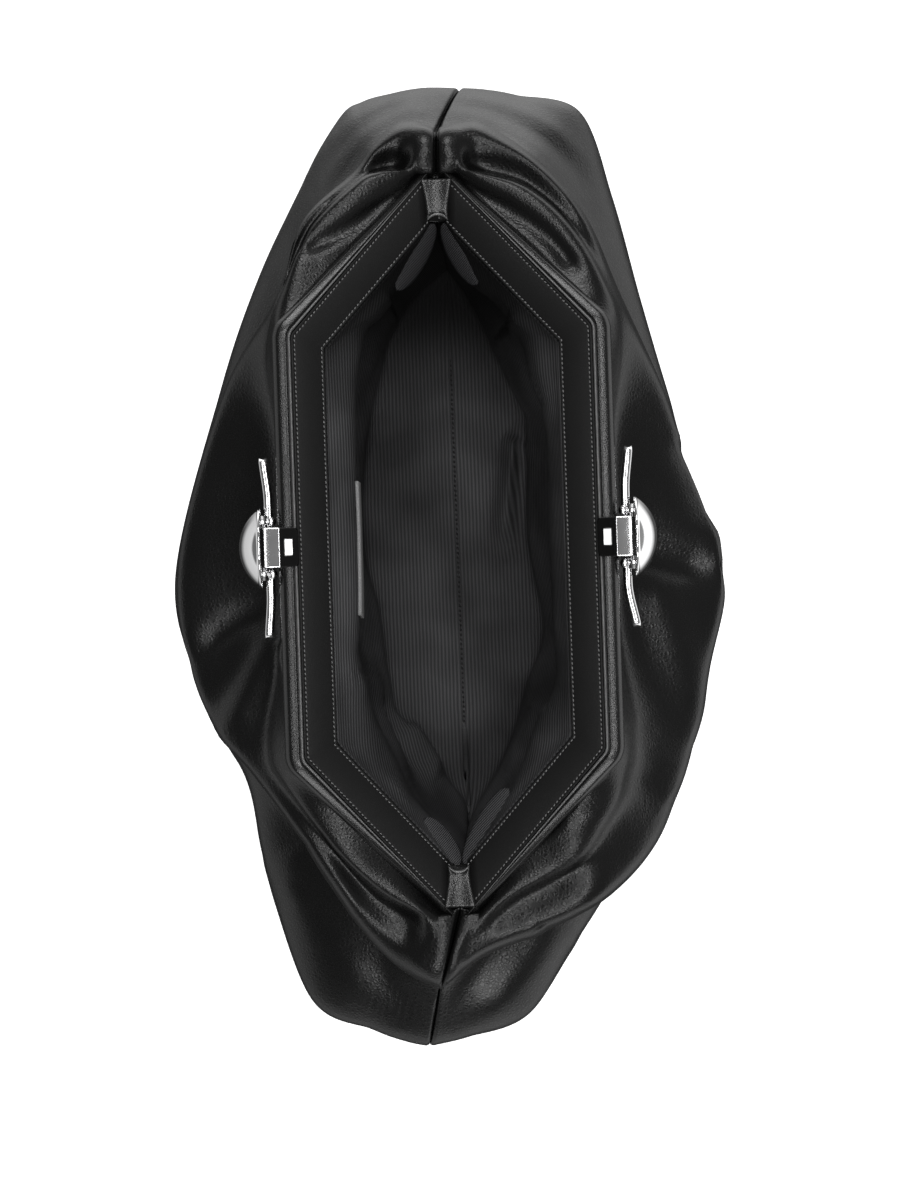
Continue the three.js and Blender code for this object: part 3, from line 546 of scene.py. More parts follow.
def leather_panel(side, sections, folds):
    """A panel's seen face: smooth curves from under the rim by shoulder, roll, tuck and foot to the bottom
    seam, carried smoothly from section to section, then lifted along its normals by the folds and drawn in
    along the end seams."""
    rows = with_seams(side, SEAM_A, sections, SEAM_B, SECTION_OUTS)
    position = stepped([PANEL_STEPS_ALONG] * (len(rows) - 1))
    share, *between, edge_x, edge_out, edge_z, tuck_in, tuck_z, foot_x, foot_out, foot_z = \
        between_rows(rows, position).T
    top = along(mouth_line(side, MOUTH_OUT, MOUTH_OUT_AT_HINGE, MOUTH_DROP, SEAM_TOP_REACH, SEAM_TOP_DROP),
                np.clip(share, 0, 1))
    edge = points_at(side, edge_x, edge_out, edge_z)
    controls = [top]
    for reach, z in zip(between[::2], between[1::2]):
        point = top + (edge - top) * reach[:, None]
        point[:, 2] = z
        controls.append(point)
    foot = points_at(side, foot_x, foot_out, foot_z)
    seam = floor_seam(position, [(*row[SECTION_FOOT], 0) for row in (SEAM_A, SEAM_B)])
    inward = (seam - foot) * [1, 1, 0]
    inward /= np.linalg.norm(inward, axis=1, keepdims=True)
    tuck = edge + inward * tuck_in[:, None]
    tuck[:, 2] = tuck_z
    floor_edge = (foot + inward * FLOOR_INSET) * [1, 1, 0]
    grid = down_curves(np.stack([*controls, edge, tuck, foot, floor_edge, seam], axis=1), PANEL_STEPS_DOWN)
    normals = grid_normals(grid, side)
    down = stepped(PANEL_STEPS_DOWN)
    free = np.minimum(down / HELD_BY_RIM, 1)
    upper = smoothstep(*FOLD_HEIGHTS, grid[..., 2])
    lift = fold_lift(folds, grid[..., 0], side * grid[..., 1])
    from_a = lengths(grid)
    from_seam = np.minimum(from_a, from_a[-1] - from_a)
    bar = SEAM_BAR * np.exp(-((from_seam - SEAM_BAR_PLACE) / SEAM_BAR_WIDTH)**2)
    lift += swell(SEAM_BAR_FROM, SEAM_BAR_TO, down) * bar
    lift -= SEAM_GROOVE * np.exp(-(from_seam / SEAM_GROOVE_WIDTH)**2)
    normals[[0, -1], :, 1] = 0
    grid = grid + normals * (lift * upper * free)[..., None]
    grid[..., 1] += side * GAP / 2
    grid[..., 2] = np.maximum(grid[..., 2], 0)
    return grid


body_leather = grained_leather("black_nappa", 0.002, 0.004, 0.24, 1.4, 0.055)
for name, side, sections, folds in (("front", -1, FRONT_SECTIONS, FRONT_FOLDS),
                                    ("back", 1, BACK_SECTIONS, BACK_FOLDS)):
    grid = leather_panel(side, sections, folds)
    panel = piece(f"leather_panel_{name}", grid, grid_faces(grid, side < 0), body_leather,
                  "body_leather", f"body_{name}")
    walled(panel, LEATHER)


# Frame halves: steel bows covered in thin leather, with a rolled rim and, between it and the facing, a
# sealed bead. Each half rises outwards from the hinge line.
RIM_NARROWING = 1.4 / 5.4
HOOP_STEPS = 12
HOOP_END_OUT = 3
# Columns: out up, round the covered bow's section from under the facing over the rim and back.
RIM_SECTION = (
    (-12.2, -1.5), (-6, -1.5), (0, -1.5), (0.3, -1.2), (0.34, -0.1), (0.42, 0.4), (0.55, 0.55), (1.12, 0.39),
    (1.28, 0.1), (1.42, -0.35), (1.58, 0), (1.85, 0.5), (2.2, 0.62), (2.6, 0.5), (3.2, 0.2), (3.8, -0.17),
    (4.4, -0.58), (4.9, -1.1), (5.25, -2.2), (5.4, -3.4), (5.2, -4.7), (4.6, -6), (3.4, -7.1), (1.6, -7.6),
    (-6, -7.6), (-11, -5.6), (-12.2, -4.5),
)
# Columns: out up, round the section of the sealed bead that runs between the facing and the roll.
BEAD_SECTION = (
    (0.28, -0.6), (0.32, 0.1), (0.4, 0.46), (0.58, 0.62), (0.85, 0.58), (1.14, 0.46), (1.3, 0.2),
    (1.36, -0.2), (1.36, -0.6),
)


def hoop_sweep(side, section, hinge_scale):
    """A section carried round the hoop: each of its points follows the hoop at its own distance out, the
    distances outside the facing narrowing to the hinge, with even steps between the hoop's corners."""
    section = np.asarray(section, float)
    out, up = section.T
    corners = hoop(out, np.where(out > 0, out * hinge_scale, out), HOOP_END_OUT)
    position = stepped([HOOP_STEPS] * (len(corners) - 1))
    span = np.minimum(position.astype(int), len(corners) - 2)
    t = (position - span)[:, None, None]
    plan = corners[span] * (1 - t) + corners[span + 1] * t
    return on_half(side, plan, np.broadcast_to(up, plan.shape[:2]))


def tube_faces(rings, turned=False):
    """The faces of rings of points joined into a closed tube, with a flat face at each end."""
    count, size = rings.shape[:2]
    i, j = np.meshgrid(np.arange(count - 1), np.arange(size), indexing="ij")
    a, b = (i * size + j).ravel(), (i * size + (j + 1) % size).ravel()
    sides = np.stack([a, a + size, b + size, b], axis=1)
    faces = [*sides, np.arange(size), (count - 1) * size + np.arange(size)[::-1]]
    return [face[::-1] for face in faces] if turned else faces


def rounded(section, steps):
    """A closed section made smooth: a closed curve (uniform Catmull-Rom) through its points."""
    section = np.asarray(section, float)
    count = len(section)
    ringed = np.concatenate([section[-2:], section, section[:3]])
    return between_rows(ringed, 2 + np.arange(count * steps) / steps)


def clouded(name, constants, scale, detail, dark, light, gloss, change):
    """A smooth finish: one noise shifts its colour between two and its gloss by a little."""
    finish = Finish(name, constants)
    cloud = finish.noise(finish.place(), scale, detail)
    finish.feed("Base Color", finish.shade(cloud, dark, light))
    finish.feed("Roughness", gloss + cloud * change)
    return finish


frame_leather = grained_leather("frame_nappa", 0.002, 0.004, 0.2, 0.8, 0.025, 0.6, 0.5)
edge_paint = clouded("edge_paint", {"Specular IOR Level": 0.8}, 500.0, 3.0, grey(0.03), grey(0.12),
                     0.22, 0.2)
for name, side in HALVES:
    sweep = hoop_sweep(side, rounded(RIM_SECTION, 2), RIM_NARROWING)
    piece(f"frame_cover_{name}", sweep, tube_faces(sweep, side < 0), frame_leather,
          "frame_leather", f"frame_{name}")
    sweep = hoop_sweep(side, BEAD_SECTION, RIM_NARROWING)
    piece(f"frame_bead_{name}", sweep, tube_faces(sweep, side > 0), edge_paint, "frame_leather")


# Facings: flat strips of smooth leather glued to the frame halves, their edges turned under and held down
# by a row of stitches near each edge.
# Columns: out up, round the strip's section, with a shallow channel under each row of stitches.
FACING_SECTION = (
    (-12.7, -1.2), (-12.7, -0.6), (-12.62, -0.2), (-12.35, 0), (-12, 0.03), (-11.75, -0.08), (-11.55, -0.18),
    (-11.35, -0.08), (-11, 0), (-6.3, 0.05), (-1.9, 0), (-1.6, -0.08), (-1.4, -0.18), (-1.2, -0.08),
    (-0.9, 0.04), (-0.4, 0.02), (-0.1, -0.2), (0, -0.6), (0, -1.2),
)
STITCH_ROWS = (-11.55, -1.4)
STITCH_SINK = -0.12
STITCH_AROUND = 6
STITCH_RINGS = (-1, -0.6, 0, 0.6, 1)
STITCH_TIP = 0.02
STITCH_DIP = 0.5
# Columns: pitch length width slant.
STITCH = (1.6, 1.25, 0.5, 0.12)


def around(count):
    """Even angles round a ring."""
    return np.linspace(0, 2 * math.pi, count, endpoint=False)


def stitches(line, upward, pitch, length, width, slant):
    """Stitches along a line: at each pitch a thin lozenge of thread, six-sided, that dips at both ends."""
    reach = lengths(line)
    centre = np.arange(pitch / 2, reach[-1], pitch)
    middle = read_off(centre, reach, line)
    ahead = read_off(centre + length / 2, reach, line) - middle
    ahead /= np.maximum(np.linalg.norm(ahead, axis=1, keepdims=True), 1e-6)
    across = np.cross(upward, ahead)
    share = np.array(STITCH_RINGS)
    thick = np.sqrt(np.maximum(1 - share**2, STITCH_TIP)) * width / 2
    angle = around(STITCH_AROUND)
    sideways = thick[:, None] * np.cos(angle) + (share * slant)[:, None]
    height = thick[:, None] * np.sin(angle) - (STITCH_DIP * share**2 * width)[:, None]
    points = (middle[:, None, None] + ahead[:, None, None] * (share * length / 2)[:, None, None]
              + across[:, None, None] * sideways[..., None] + np.array(upward) * height[..., None])
    faces = tube_faces(sideways)
    return points.reshape(-1, 3), [face + k * sideways.size for k in range(len(centre)) for face in faces]


def as_one(parts):
    """Several point lists and face lists as one."""
    starts = np.cumsum([0] + [len(points) for points, _ in parts])
    return (np.concatenate([points for points, _ in parts]),
            [np.asarray(face) + start for start, (_, faces) in zip(starts, parts) for face in faces])


facing_leather = grained_leather("facing_leather", 0.003, 0.006, 0.5, 0.55, 0.03, 0.27, 0.5)
thread = Finish("thread", {"Roughness": 0.45})
thread.feed("Base Color", thread.shade(thread.noise(thread.place(), 3000.0, 1.0), grey(0.1), grey(0.22)))
sewn = []
for name, side in HALVES:
    sweep = hoop_sweep(side, FACING_SECTION, 1)
    piece(f"facing_strip_{name}", sweep, tube_faces(sweep, side > 0), facing_leather,
          "facing_leather", f"facing_{name}")
    for row in STITCH_ROWS:
        line = on_half(side, hoop(row, row, HOOP_END_OUT)[:, 0], STITCH_SINK)
        sewn.append(stitches(line, (0, -side * math.sin(FRAME_RISE), math.cos(FRAME_RISE)), *STITCH))
piece("facing_stitches", *as_one(sewn), thread, "facing_leather")


# Hinge tabs: short leather saddles folded over the hinge and the facings' ends, wider outwards, with a
# rolled lip that arches towards the mouth, a thin cord of piping on the lip and stitches near each end.
TAB_OUTER = 128
TAB_INNER = 113
TAB_ARCH = 2.2
TAB_BASE = 99.5
TAB_FILL = 1.6
TAB_SADDLE = 0.8
TAB_EDGE_DROP = 1.3
TAB_EDGE_POWER = 10
TAB_ROLL_SHARE = 0.98
TAB_NOSE = 2.4
TAB_BELOW = 1.6
TAB_STEPS = (40, 28)
TAB_STITCH_ROWS = (0.17, 0.93)
TAB_STITCH_REACH = 0.8
TAB_STITCH_POINTS = 21
TAB_PIPING = 0.55
TAB_PIPING_AT = 0.02
TAB_PIPING_AROUND = 12
TAB_PIPING_DRAWN = 0.9
TAB_PIPING_POWER = 8
# Columns: share of the way from the lip to the outer end, half width.
TAB_PROFILE = ((0, 3.9), (0.15, 3.9), (0.45, 4.3), (0.75, 5.1), (0.93, 5.7), (1, 5.8))


def saddle_top(end, share, across):
    """Points of a tab's top: its plan a strip that widens outwards, its lip arched; its height follows the
    two facings' slopes, rounded over the hinge, rolled down at the sides and, in a quarter circle, at both
    ends."""
    at, half_width = np.array(TAB_PROFILE).T
    half = np.interp(share, at, half_width)
    inner = TAB_INNER + TAB_ARCH * (1 - across**2)
    x = FRAME_SHIFT + end * (inner + (TAB_OUTER - inner) * share)
    y = half * across
    z = TAB_BASE + np.sqrt(TAB_FILL**2 + (y * math.tan(FRAME_RISE))**2) + TAB_SADDLE * (2 * share - 1)**2
    nose = np.clip(1 - share * (TAB_OUTER - TAB_INNER) / TAB_NOSE, 0, 1)
    heel = np.clip((share - 1) * (TAB_OUTER - TAB_INNER) / TAB_BELOW + 1, 0, 1)
    for depth, roll in ((TAB_NOSE, nose), (TAB_BELOW, heel)):
        z = z - depth * (1 - np.sqrt(1 - TAB_ROLL_SHARE * roll**2))
    z = z - TAB_EDGE_DROP * np.abs(across)**TAB_EDGE_POWER
    return np.stack([x, y, z], axis=-1)


def hinge_saddle(end):
    """A tab as rings across it: the top from side to side and the underside back, a little below it."""
    share, across = np.meshgrid(np.linspace(0, 1, TAB_STEPS[0] + 1), np.linspace(-1, 1, TAB_STEPS[1] + 1),
                                indexing="ij")
    top = saddle_top(end, share, across)
    under = top[:, [-1, 0]] - [0, 0, TAB_BELOW]
    return np.concatenate([top, under], axis=1)


def piping(line, radius):
    """A round cord along a line that runs across the bag: a ring of X and Z about each point, drawn in at
    its ends."""
    angle = around(TAB_PIPING_AROUND)
    share = np.linspace(-1, 1, len(line))[:, None]
    thick = radius * np.sqrt(1 - TAB_PIPING_DRAWN * share**TAB_PIPING_POWER)
    x = line[:, :1] + thick * np.cos(angle)
    z = line[:, 2:] + thick * np.sin(angle)
    return np.stack([x, np.broadcast_to(line[:, 1:2], x.shape), z], axis=-1)


tab_leather = grained_leather("tab_leather", 0.006, 0.012, 0.2, 0.7, 0.04, 0.65, 3.0)
tab_sewn = []
reach = np.linspace(-TAB_STITCH_REACH, TAB_STITCH_REACH, TAB_STITCH_POINTS)
for name, end in (("a", -1), ("b", 1)):
    saddle = hinge_saddle(end)
    piece(f"hinge_saddle_{name}", saddle, tube_faces(saddle, end > 0), tab_leather,
          "frame_leather", f"hinge_tab_{name}")
    cord = piping(saddle_top(end, np.full_like(reach, TAB_PIPING_AT), reach / TAB_STITCH_REACH), TAB_PIPING)
    piece(f"hinge_piping_{name}", cord, tube_faces(cord, True), edge_paint, "frame_leather")
    for row in TAB_STITCH_ROWS:
        tab_sewn.append(stitches(saddle_top(end, np.full_like(reach, row), reach), (0, 0, 1), *STITCH))
piece("tab_stitches", *as_one(tab_sewn), thread, "frame_leather")


# Lining: two panels of black ribbed cloth, sewn to the facing's inner edge, hanging slack under it and lying
# on the floor of the bag, where they meet in a sewn seam. Beside each hinge it shows small lips of twill.
FACING_WIDTH = 12.7
LINING_OUT = -FACING_WIDTH - 0.9
LINING_DROP = 1.6
LINING_SEAM_REACH = -11
LINING_SEAM_DROP = 4
LINING_FLOOR = 3.2
CLOTH = 1
LINING_STEPS_ALONG = [22] * 10
LINING_STEPS_DOWN = [24, 20, 18, 8, 30]
LINING_RECESS = 6
LINING_RECESS_Z = 48
LINING_HEEL = (2.2, 9)
LINING_LOOSE_FROM = (0, 0.1)
LINING_LOOSE_TO = (0.9, 1)
LINING_FOLDS_FROM = (0, 0.6)
LINING_FOLDS_TO = (4.4, 4.9)
# Painted shade: towards the upper hinge the lining's colour falls to 0.03 of itself, between these X values
# in metres.
HINGE_PAINTED_SHADE = (-102 * MM, -52 * MM, 0.03, 1.0)
TWILL_PITCH = 0.9
TWILL_DEPTH = 0.05
# Painted light and shade on the twill lips: their lines go from darker at the upper hinge to paler at the
# lower hinge, between these X values in metres.
TWILL_PAINTED_LIGHT = (-90 * MM, 80 * MM, 0.0, 1.0)
LIP_Z = 97
LIP_FALL = 2
LIP_LEAN = 0.55
LIP_ARCH = 0.35
LIP_FULLNESS = 0.55
LIP_STEPS = (32, 10)
# Columns: name, which way across is outwards, startX startY endX endY width.
LIPS = (
    ("front_a", -1, -120, -1, -97, -15, 8),
    ("front_b", 1, 105.5, 0.4, 88.8, -11, 7.6),
    ("back_a", 1, -120, 1.8, -98, 13, 8),
    ("back_b", -1, 105.5, 1.8, 79.2, 18.2, 8.2),
)
SEAM_STITCH_UP = 0.5
SEAM_STITCH = (1.8, 1.2, 0.8, 0.12)
RIB_PITCH = 1.35
RIB_CLIMB = 0.4
RIB_DEPTH = 0.16
RIB_WANDER = (0.05, 3.0)
WEAVE_SCALE = 4.0
WEAVE_DEPTH = 0.5
RUBBED_SCALE = 30.0
RUBBED = (0.35, 0.65, 0.6, 1.3)
# Columns: share hangX hangOut hangZ footX footOut footZ; the seams give y, not out.
LINING_SEAM_A = (0, -119, 0, 64, -111, 3, 8)
LINING_SEAM_B = (1, 106, 1, 68, 96, 4, 12)
LINING_OUTS = [2, 5]
LINING_FOOT = slice(4, 6)
FRONT_LINING = (
    (0.1, -104, 11, 87, -100, 9, 5),
    (0.19, -92, 22, 92, -86, 19, 4),
    (0.27, -80, 30, 100, -74, 22, 4),
    (0.36, -46, 32, 106, -44, 28, 4),
    (0.46, -12, 32, 107, -10, 30, 4),
    (0.56, 14, 32.5, 106, 16, 25, 4),
    (0.68, 44, 34, 101, 50, 20.5, 4),
    (0.8, 73, 25, 92, 72, 8, 5),
    (0.91, 90, 10, 87, 86, -3, 7),
)
BACK_LINING = (
    (0.1, -101, 10, 87, -100, 9.5, 5),
    (0.19, -90, 23, 93, -87, 16, 4),
    (0.28, -76, 33, 96, -70, 23, 4),
    (0.36, -46, 36, 91, -50, 30.5, 4),
    (0.46, -12, 36, 89, -10, 28.5, 4),
    (0.57, 22, 36, 88, 24, 33, 4),
    (0.66, 44, 36, 92, 44, 26.5, 4),
    (0.8, 73, 26, 94, 67, 20, 5),
    (0.91, 91, 11, 87, 85, 9, 7),
)
# Columns: aX aOut bX bOut cX cOut width rise, as for the leather.
FRONT_LINING_FOLDS = (
    (36, 33, 60, 27, 84, 18, 4.5, 5),
    (48, 27, 62, 21, 76, 12, 3, -4),
    (-96, 18, -88, 24, -70, 30, 4, 3),
    (58, 18, 70, 12.5, 80, 7, 3.5, 5),
)
BACK_LINING_FOLDS = (
    (-48, 28, -32, 24, -6, 20.5, 5, 8),
    (-88, 24, -74, 32, -56, 36, 6, 4),
    (50, 33, 64, 28, 82, 19, 4, 3.5),
)


def lining_grid(side, sections, folds):
    """A lining panel's seen face: smooth curves from the facing's inner edge by the slack cloth, which hangs
    over a recess, and the foot of the wall to the floor seam, carried smoothly from section to section and
    lifted along its normals by the folds."""
    rows = with_seams(side, LINING_SEAM_A, sections, LINING_SEAM_B, LINING_OUTS)
    position = stepped(LINING_STEPS_ALONG)
    share, hang_x, hang_out, hang_z, foot_x, foot_out, foot_z = between_rows(rows, position).T
    top = along(mouth_line(side, LINING_OUT, LINING_OUT, LINING_DROP, LINING_SEAM_REACH, LINING_SEAM_DROP),
                np.clip(share, 0, 1))
    loose = swell(LINING_LOOSE_FROM, LINING_LOOSE_TO, share)
    hang = points_at(side, hang_x, hang_out, hang_z)
    recess_out = (hang_out + foot_out) / 2 + LINING_RECESS * loose
    recess = points_at(side, (hang_x + foot_x) / 2, recess_out, LINING_RECESS_Z)
    heel = points_at(side, foot_x, foot_out + LINING_HEEL[0] * loose, foot_z + LINING_HEEL[1])
    foot = points_at(side, foot_x, foot_out, foot_z)
    ends = (LINING_SEAM_A, LINING_SEAM_B)
    seam = floor_seam(position, [(*row[LINING_FOOT], LINING_FLOOR) for row in ends])
    grid = down_curves(np.stack([top, hang, recess, heel, foot, seam], axis=1), LINING_STEPS_DOWN)
    lift = fold_lift(folds, grid[..., 0], side * grid[..., 1]) * loose[:, None]
    held = swell(LINING_FOLDS_FROM, LINING_FOLDS_TO, stepped(LINING_STEPS_DOWN))
    grid = grid - grid_normals(grid, side) * (lift * held)[..., None]
    grid[..., 2] = np.maximum(grid[..., 2], LINING_FLOOR)
    return grid


def cloth_map(thing, grid):
    """A UV map in millimetres of cloth: the way along the bag, and the way from the line of the floor seam
    plus a share of the height."""
    start, stop = grid[0, -1, :2], grid[-1, -1, :2]
    run = (stop - start) / np.linalg.norm(stop - start)
    ahead = (grid[..., :2] - start) @ run
    across = np.abs((grid[..., :2] - start) @ [-run[1], run[0]])
    uv = np.stack([ahead, across + RIB_CLIMB * grid[..., 2]], axis=-1).reshape(-1, 2)
    corner = np.empty(len(thing.data.loops), int)
    thing.data.loops.foreach_get("vertex_index", corner)
    thing.data.uv_layers.new(name="cloth").data.foreach_set("uv", uv[corner].ravel())


def ribbed_cloth():
    """Ribbed cloth: rounded ribs along the panel, each a wave of the way from the seam, with a fine weave
    across them, slow random changes of tone, and painted shade that deepens into the corner at the upper
    hinge, where the hollow lies in shadow."""
    finish = Finish("ribbed_cloth", {"Specular IOR Level": 0.08})
    place = finish.place("UV")
    from_seam = finish.axes(place)[1]
    wander_scale, wander_reach = RIB_WANDER
    wander = finish.noise(place, wander_scale, 2.0) * wander_reach
    ribs = finish.wave(from_seam * (2 * math.pi / RIB_PITCH) + wander) * 0.5 + 0.5
    weave = finish.noise(place, WEAVE_SCALE, 2.0)
    patches = finish.noise(finish.place(), RUBBED_SCALE, 2.0)
    # Painted shade that deepens into the corner at the upper hinge.
    painted_hinge_shade = finish.spread(finish.axes(finish.place())[0], *HINGE_PAINTED_SHADE, "SMOOTHSTEP")
    rubbed = finish.spread(patches, *RUBBED)
    finish.feed("Base Color", finish.shade((ribs * 0.4 + weave * 0.4 + 0.1) * rubbed * painted_hinge_shade,
                                           grey(0.006), grey(0.098, 0.003)))
    finish.feed("Roughness", 0.62 + patches * 0.25)
    finish.bumps(ribs + weave * WEAVE_DEPTH, RIB_DEPTH * MM)
    return finish


def twill_cloth():
    """Fine twill: narrow diagonal lines, each a wave of a slanted length, with painted light that makes them
    paler towards the lower hinge and painted shade that darkens them towards the upper one.
    """
    finish = Finish("twill_cloth", {"Specular IOR Level": 0.2})
    along_bag, across_bag, _ = finish.axes(finish.place())
    wave = finish.wave((along_bag + across_bag) * (2 * math.pi / (TWILL_PITCH * MM)))
    # Painted light and shade: the lines' grey rises from the upper hinge to the lower one.
    lines = finish.shade(finish.spread(along_bag, *TWILL_PAINTED_LIGHT), grey(0.034, 0.002), grey(0.08, 0.003))
    finish.feed("Base Color", finish.shade(wave * 0.5 + 0.5, grey(0.004, 0.0005), lines))
    finish.feed("Roughness", 0.6 + wave * 0.05)
    finish.bumps(wave, TWILL_DEPTH * MM)
    return finish


def hinge_lip(start_x, start_y, end_x, end_y, width, outwards):
    """A lip of cloth beside the hinge: a leaf about a straight line from the tab, widest in its middle,
    arched across, its outer edge higher than its inner one, and falling a little along its length."""
    t = np.linspace(0, 1, LIP_STEPS[0] + 1)[:, None]
    across = np.linspace(-1, 1, LIP_STEPS[1] + 1)[None]
    run = np.array([end_x - start_x, end_y - start_y])
    sideways = outwards * np.array([-run[1], run[0]]) / np.linalg.norm(run)
    half = width / 2 * (4 * t * (1 - t))**LIP_FULLNESS
    x = start_x + run[0] * t + sideways[0] * half * across
    y = start_y + run[1] * t + sideways[1] * half * across
    z = LIP_Z - LIP_FALL * t + half * (LIP_LEAN * across - LIP_ARCH * across**2)
    return np.stack([x, y, z], axis=-1)


twill = twill_cloth()
for name, outwards, *line in LIPS:
    lip = hinge_lip(*line, outwards)
    leaf = piece(f"hinge_lip_{name}", lip, grid_faces(lip, outwards < 0), twill, "lining_cloth")
    walled(leaf, CLOTH)

cloth = ribbed_cloth()
for name, side, sections, folds, first in (("front", -1, FRONT_LINING, FRONT_LINING_FOLDS, 0),
                                           ("back", 1, BACK_LINING, BACK_LINING_FOLDS, 2)):
    grid = lining_grid(side, sections, folds)
    panel = piece(f"lining_panel_{name}", grid, grid_faces(grid, side > 0), cloth,
                  "lining_cloth", f"lining_{name}")
    cloth_map(panel, grid)
    walled(panel, CLOTH)

dark_thread = Finish("dark_thread", {"Base Color": grey(0.004)})
dark_thread.feed("Roughness", 0.5 + 0.2 * dark_thread.noise(dark_thread.place(), 2000.0, 1.0))
# Both panels end in the floor seam, so the last one made gives its line.
seam_line = grid[:, -1] + [0, 0, SEAM_STITCH_UP]
piece("floor_seam_stitches", *stitches(seam_line, (0, 0, 1), *SEAM_STITCH), dark_thread, "lining_cloth")


# Label: a small bare patch of pale leather, sewn flat to the front lining under the facing, where it is seen
# almost edge-on.
# Steps of the front lining's grid that the patch lies on, along and down.
LABEL_ROWS = (98, 135)
LABEL_COLUMNS = (24, 33)
LABEL_THICK = 1

label_leather = grained_leather("label_patch", 0.16, 0.3, 0.5, 0.6, 0.02)
whole = lining_grid(-1, FRONT_LINING, FRONT_LINING_FOLDS)
patch = (whole - GAP * grid_normals(whole, -1))[slice(*LABEL_ROWS), slice(*LABEL_COLUMNS)]
label = piece("label_patch", patch, grid_faces(patch), label_leather, "label_patch", "label")
walled(label, LABEL_THICK, 1)


# Clasp brackets: on the middle of each bar a polished metal block hooked over the rim, and a black enamelled
# plate that slopes from it down to the facing, with a small window that shows bright metal.
BLOCK_OUT = (57.8, 63.4)
BLOCK_UP = (113, 128.6)
BLOCK_HALF = 6.9
BLOCK_ROUNDING = 0.4
ROUNDING_STEPS = 5
PLATE_HALF = 6.75
PLATE_FROM = (51.5, 125.6)
PLATE_TO = (58.4, 128.3)
PLATE_THICK = 1
PLATE_CORNER = 1.6
WINDOW_ALONG = 2.85
WINDOW_DOWN = (0.29, 0.7)
WINDOW_SUNK = (0.25, 1.05)
WINDOW_WALL = (0.15, 0.02)
WINDOW_SHARPER = math.radians(30)


def filleted(corners, radius, steps):
    """A convex outline, each corner turned into a short curve (quadratic Bezier) between its two sides."""
    corners = np.asarray(corners, float)
    before = np.roll(corners, 1, axis=0) - corners
    after = np.roll(corners, -1, axis=0) - corners
    start = corners + radius * before / np.linalg.norm(before, axis=1, keepdims=True)
    stop = corners + radius * after / np.linalg.norm(after, axis=1, keepdims=True)
    t = np.linspace(0, 1, steps + 1)[None, :, None]
    bend = (1 - t)**2 * start[:, None] + 2 * t * (1 - t) * corners[:, None] + t**2 * stop[:, None]
    return bend.reshape(-1, 2)


def carried(x, rings):
    """Rings of ways out and heights, each set at its place along X."""
    return np.concatenate([np.broadcast_to(x[:, None, None], (*rings.shape[:2], 1)), rings], axis=-1)


def rounded_block(out, up, half, radius):
    """A block with all edges rounded: its filleted section carried along X, drawn in at both ends on a
    quarter circle."""
    section = filleted([(out[0], up[0]), (out[1], up[0]), (out[1], up[1]), (out[0], up[1])], radius,
                       ROUNDING_STEPS)
    middle = np.array([sum(out) / 2, sum(up) / 2])
    reach = np.array([out[1] - out[0], up[1] - up[0]]) / 2
    turn = np.linspace(0, math.pi / 2, ROUNDING_STEPS + 1)
    inset = radius * (1 - np.sin(turn))
    x = -half + radius * (1 - np.cos(turn))
    inset = np.concatenate([inset, inset[::-1]])
    drawn = middle + (section - middle) * (1 - inset[:, None, None] / reach)
    return carried(np.concatenate([x, -x[::-1]]), drawn)


def plate_grid():
    """The plate's seen face: a straight slope, its two inner corners rounded, with the window pressed in."""
    beside, before = WINDOW_WALL
    start, stop = WINDOW_DOWN
    down = np.array([0, 0.03, 0.07, 0.12, 0.18, 0.24, start - before, start + before, 0.5,
                     stop - before, stop + before, 0.8, 0.9, 1])
    wide, narrow = (WINDOW_ALONG + beside) / PLATE_HALF, (WINDOW_ALONG - beside) / PLATE_HALF
    across = np.array([-1, -0.8, -0.6, -wide, -narrow, 0, narrow, wide, 0.6, 0.8, 1])
    from_edge = np.clip(PLATE_CORNER - down * math.dist(PLATE_FROM, PLATE_TO), 0, PLATE_CORNER)
    half = PLATE_HALF - PLATE_CORNER + np.sqrt(PLATE_CORNER**2 - from_edge**2)
    x = half[:, None] * across
    inside = (np.abs(across) <= narrow + 1e-6) & ((down > start) & (down < stop))[:, None]
    out, up = (np.interp(down, [0, 1], ends)[:, None] for ends in zip(PLATE_FROM, PLATE_TO))
    sunk = np.interp(down, WINDOW_DOWN, WINDOW_SUNK)[:, None] * inside
    return np.stack([x, np.broadcast_to(out, x.shape), up - sunk], axis=-1), inside


def on_clasp(side, points):
    """Points of a clasp, drawn with the way along, the way out and the height, in the bag's axes."""
    return points * [side, side, 1] + [FRAME_SHIFT, 0, 0]


metal = clouded("polished_metal", {"Metallic": 1.0}, 160.0, 3.0, grey(0.93, 0.005), grey(0.98, 0.005),
                0.04, 0.08)
enamel = clouded("black_enamel", {"Specular IOR Level": 0.3}, 240.0, 2.0, grey(0.002), grey(0.004),
                 0.12, 0.1)
pane = clouded("window_pane", {"Metallic": 1.0}, 900.0, 1.0, grey(0.93, 0.005), grey(0.97, 0.005),
               0.38, 0.04)
block = rounded_block(BLOCK_OUT, BLOCK_UP, BLOCK_HALF, BLOCK_ROUNDING)
plate, sunk = plate_grid()
window_faces = (sunk[:-1, :-1] & sunk[1:, 1:] & sunk[1:, :-1] & sunk[:-1, 1:]).ravel()
for name, side in HALVES:
    piece(f"clasp_block_{name}", on_clasp(side, block), tube_faces(block, True), metal,
          "clasp_metal", f"clasp_bracket_{name}")
    enamelled = piece(f"clasp_plate_{name}", on_clasp(side, plate), grid_faces(plate, True), enamel,
                      "clasp_metal")
    enamelled.data.materials.append(pane.material)
    enamelled.data.polygons.foreach_set("material_index", window_faces.astype(int))
    enamelled.data.set_sharp_from_angle(angle=WINDOW_SHARPER)
    walled(enamelled, PLATE_THICK)


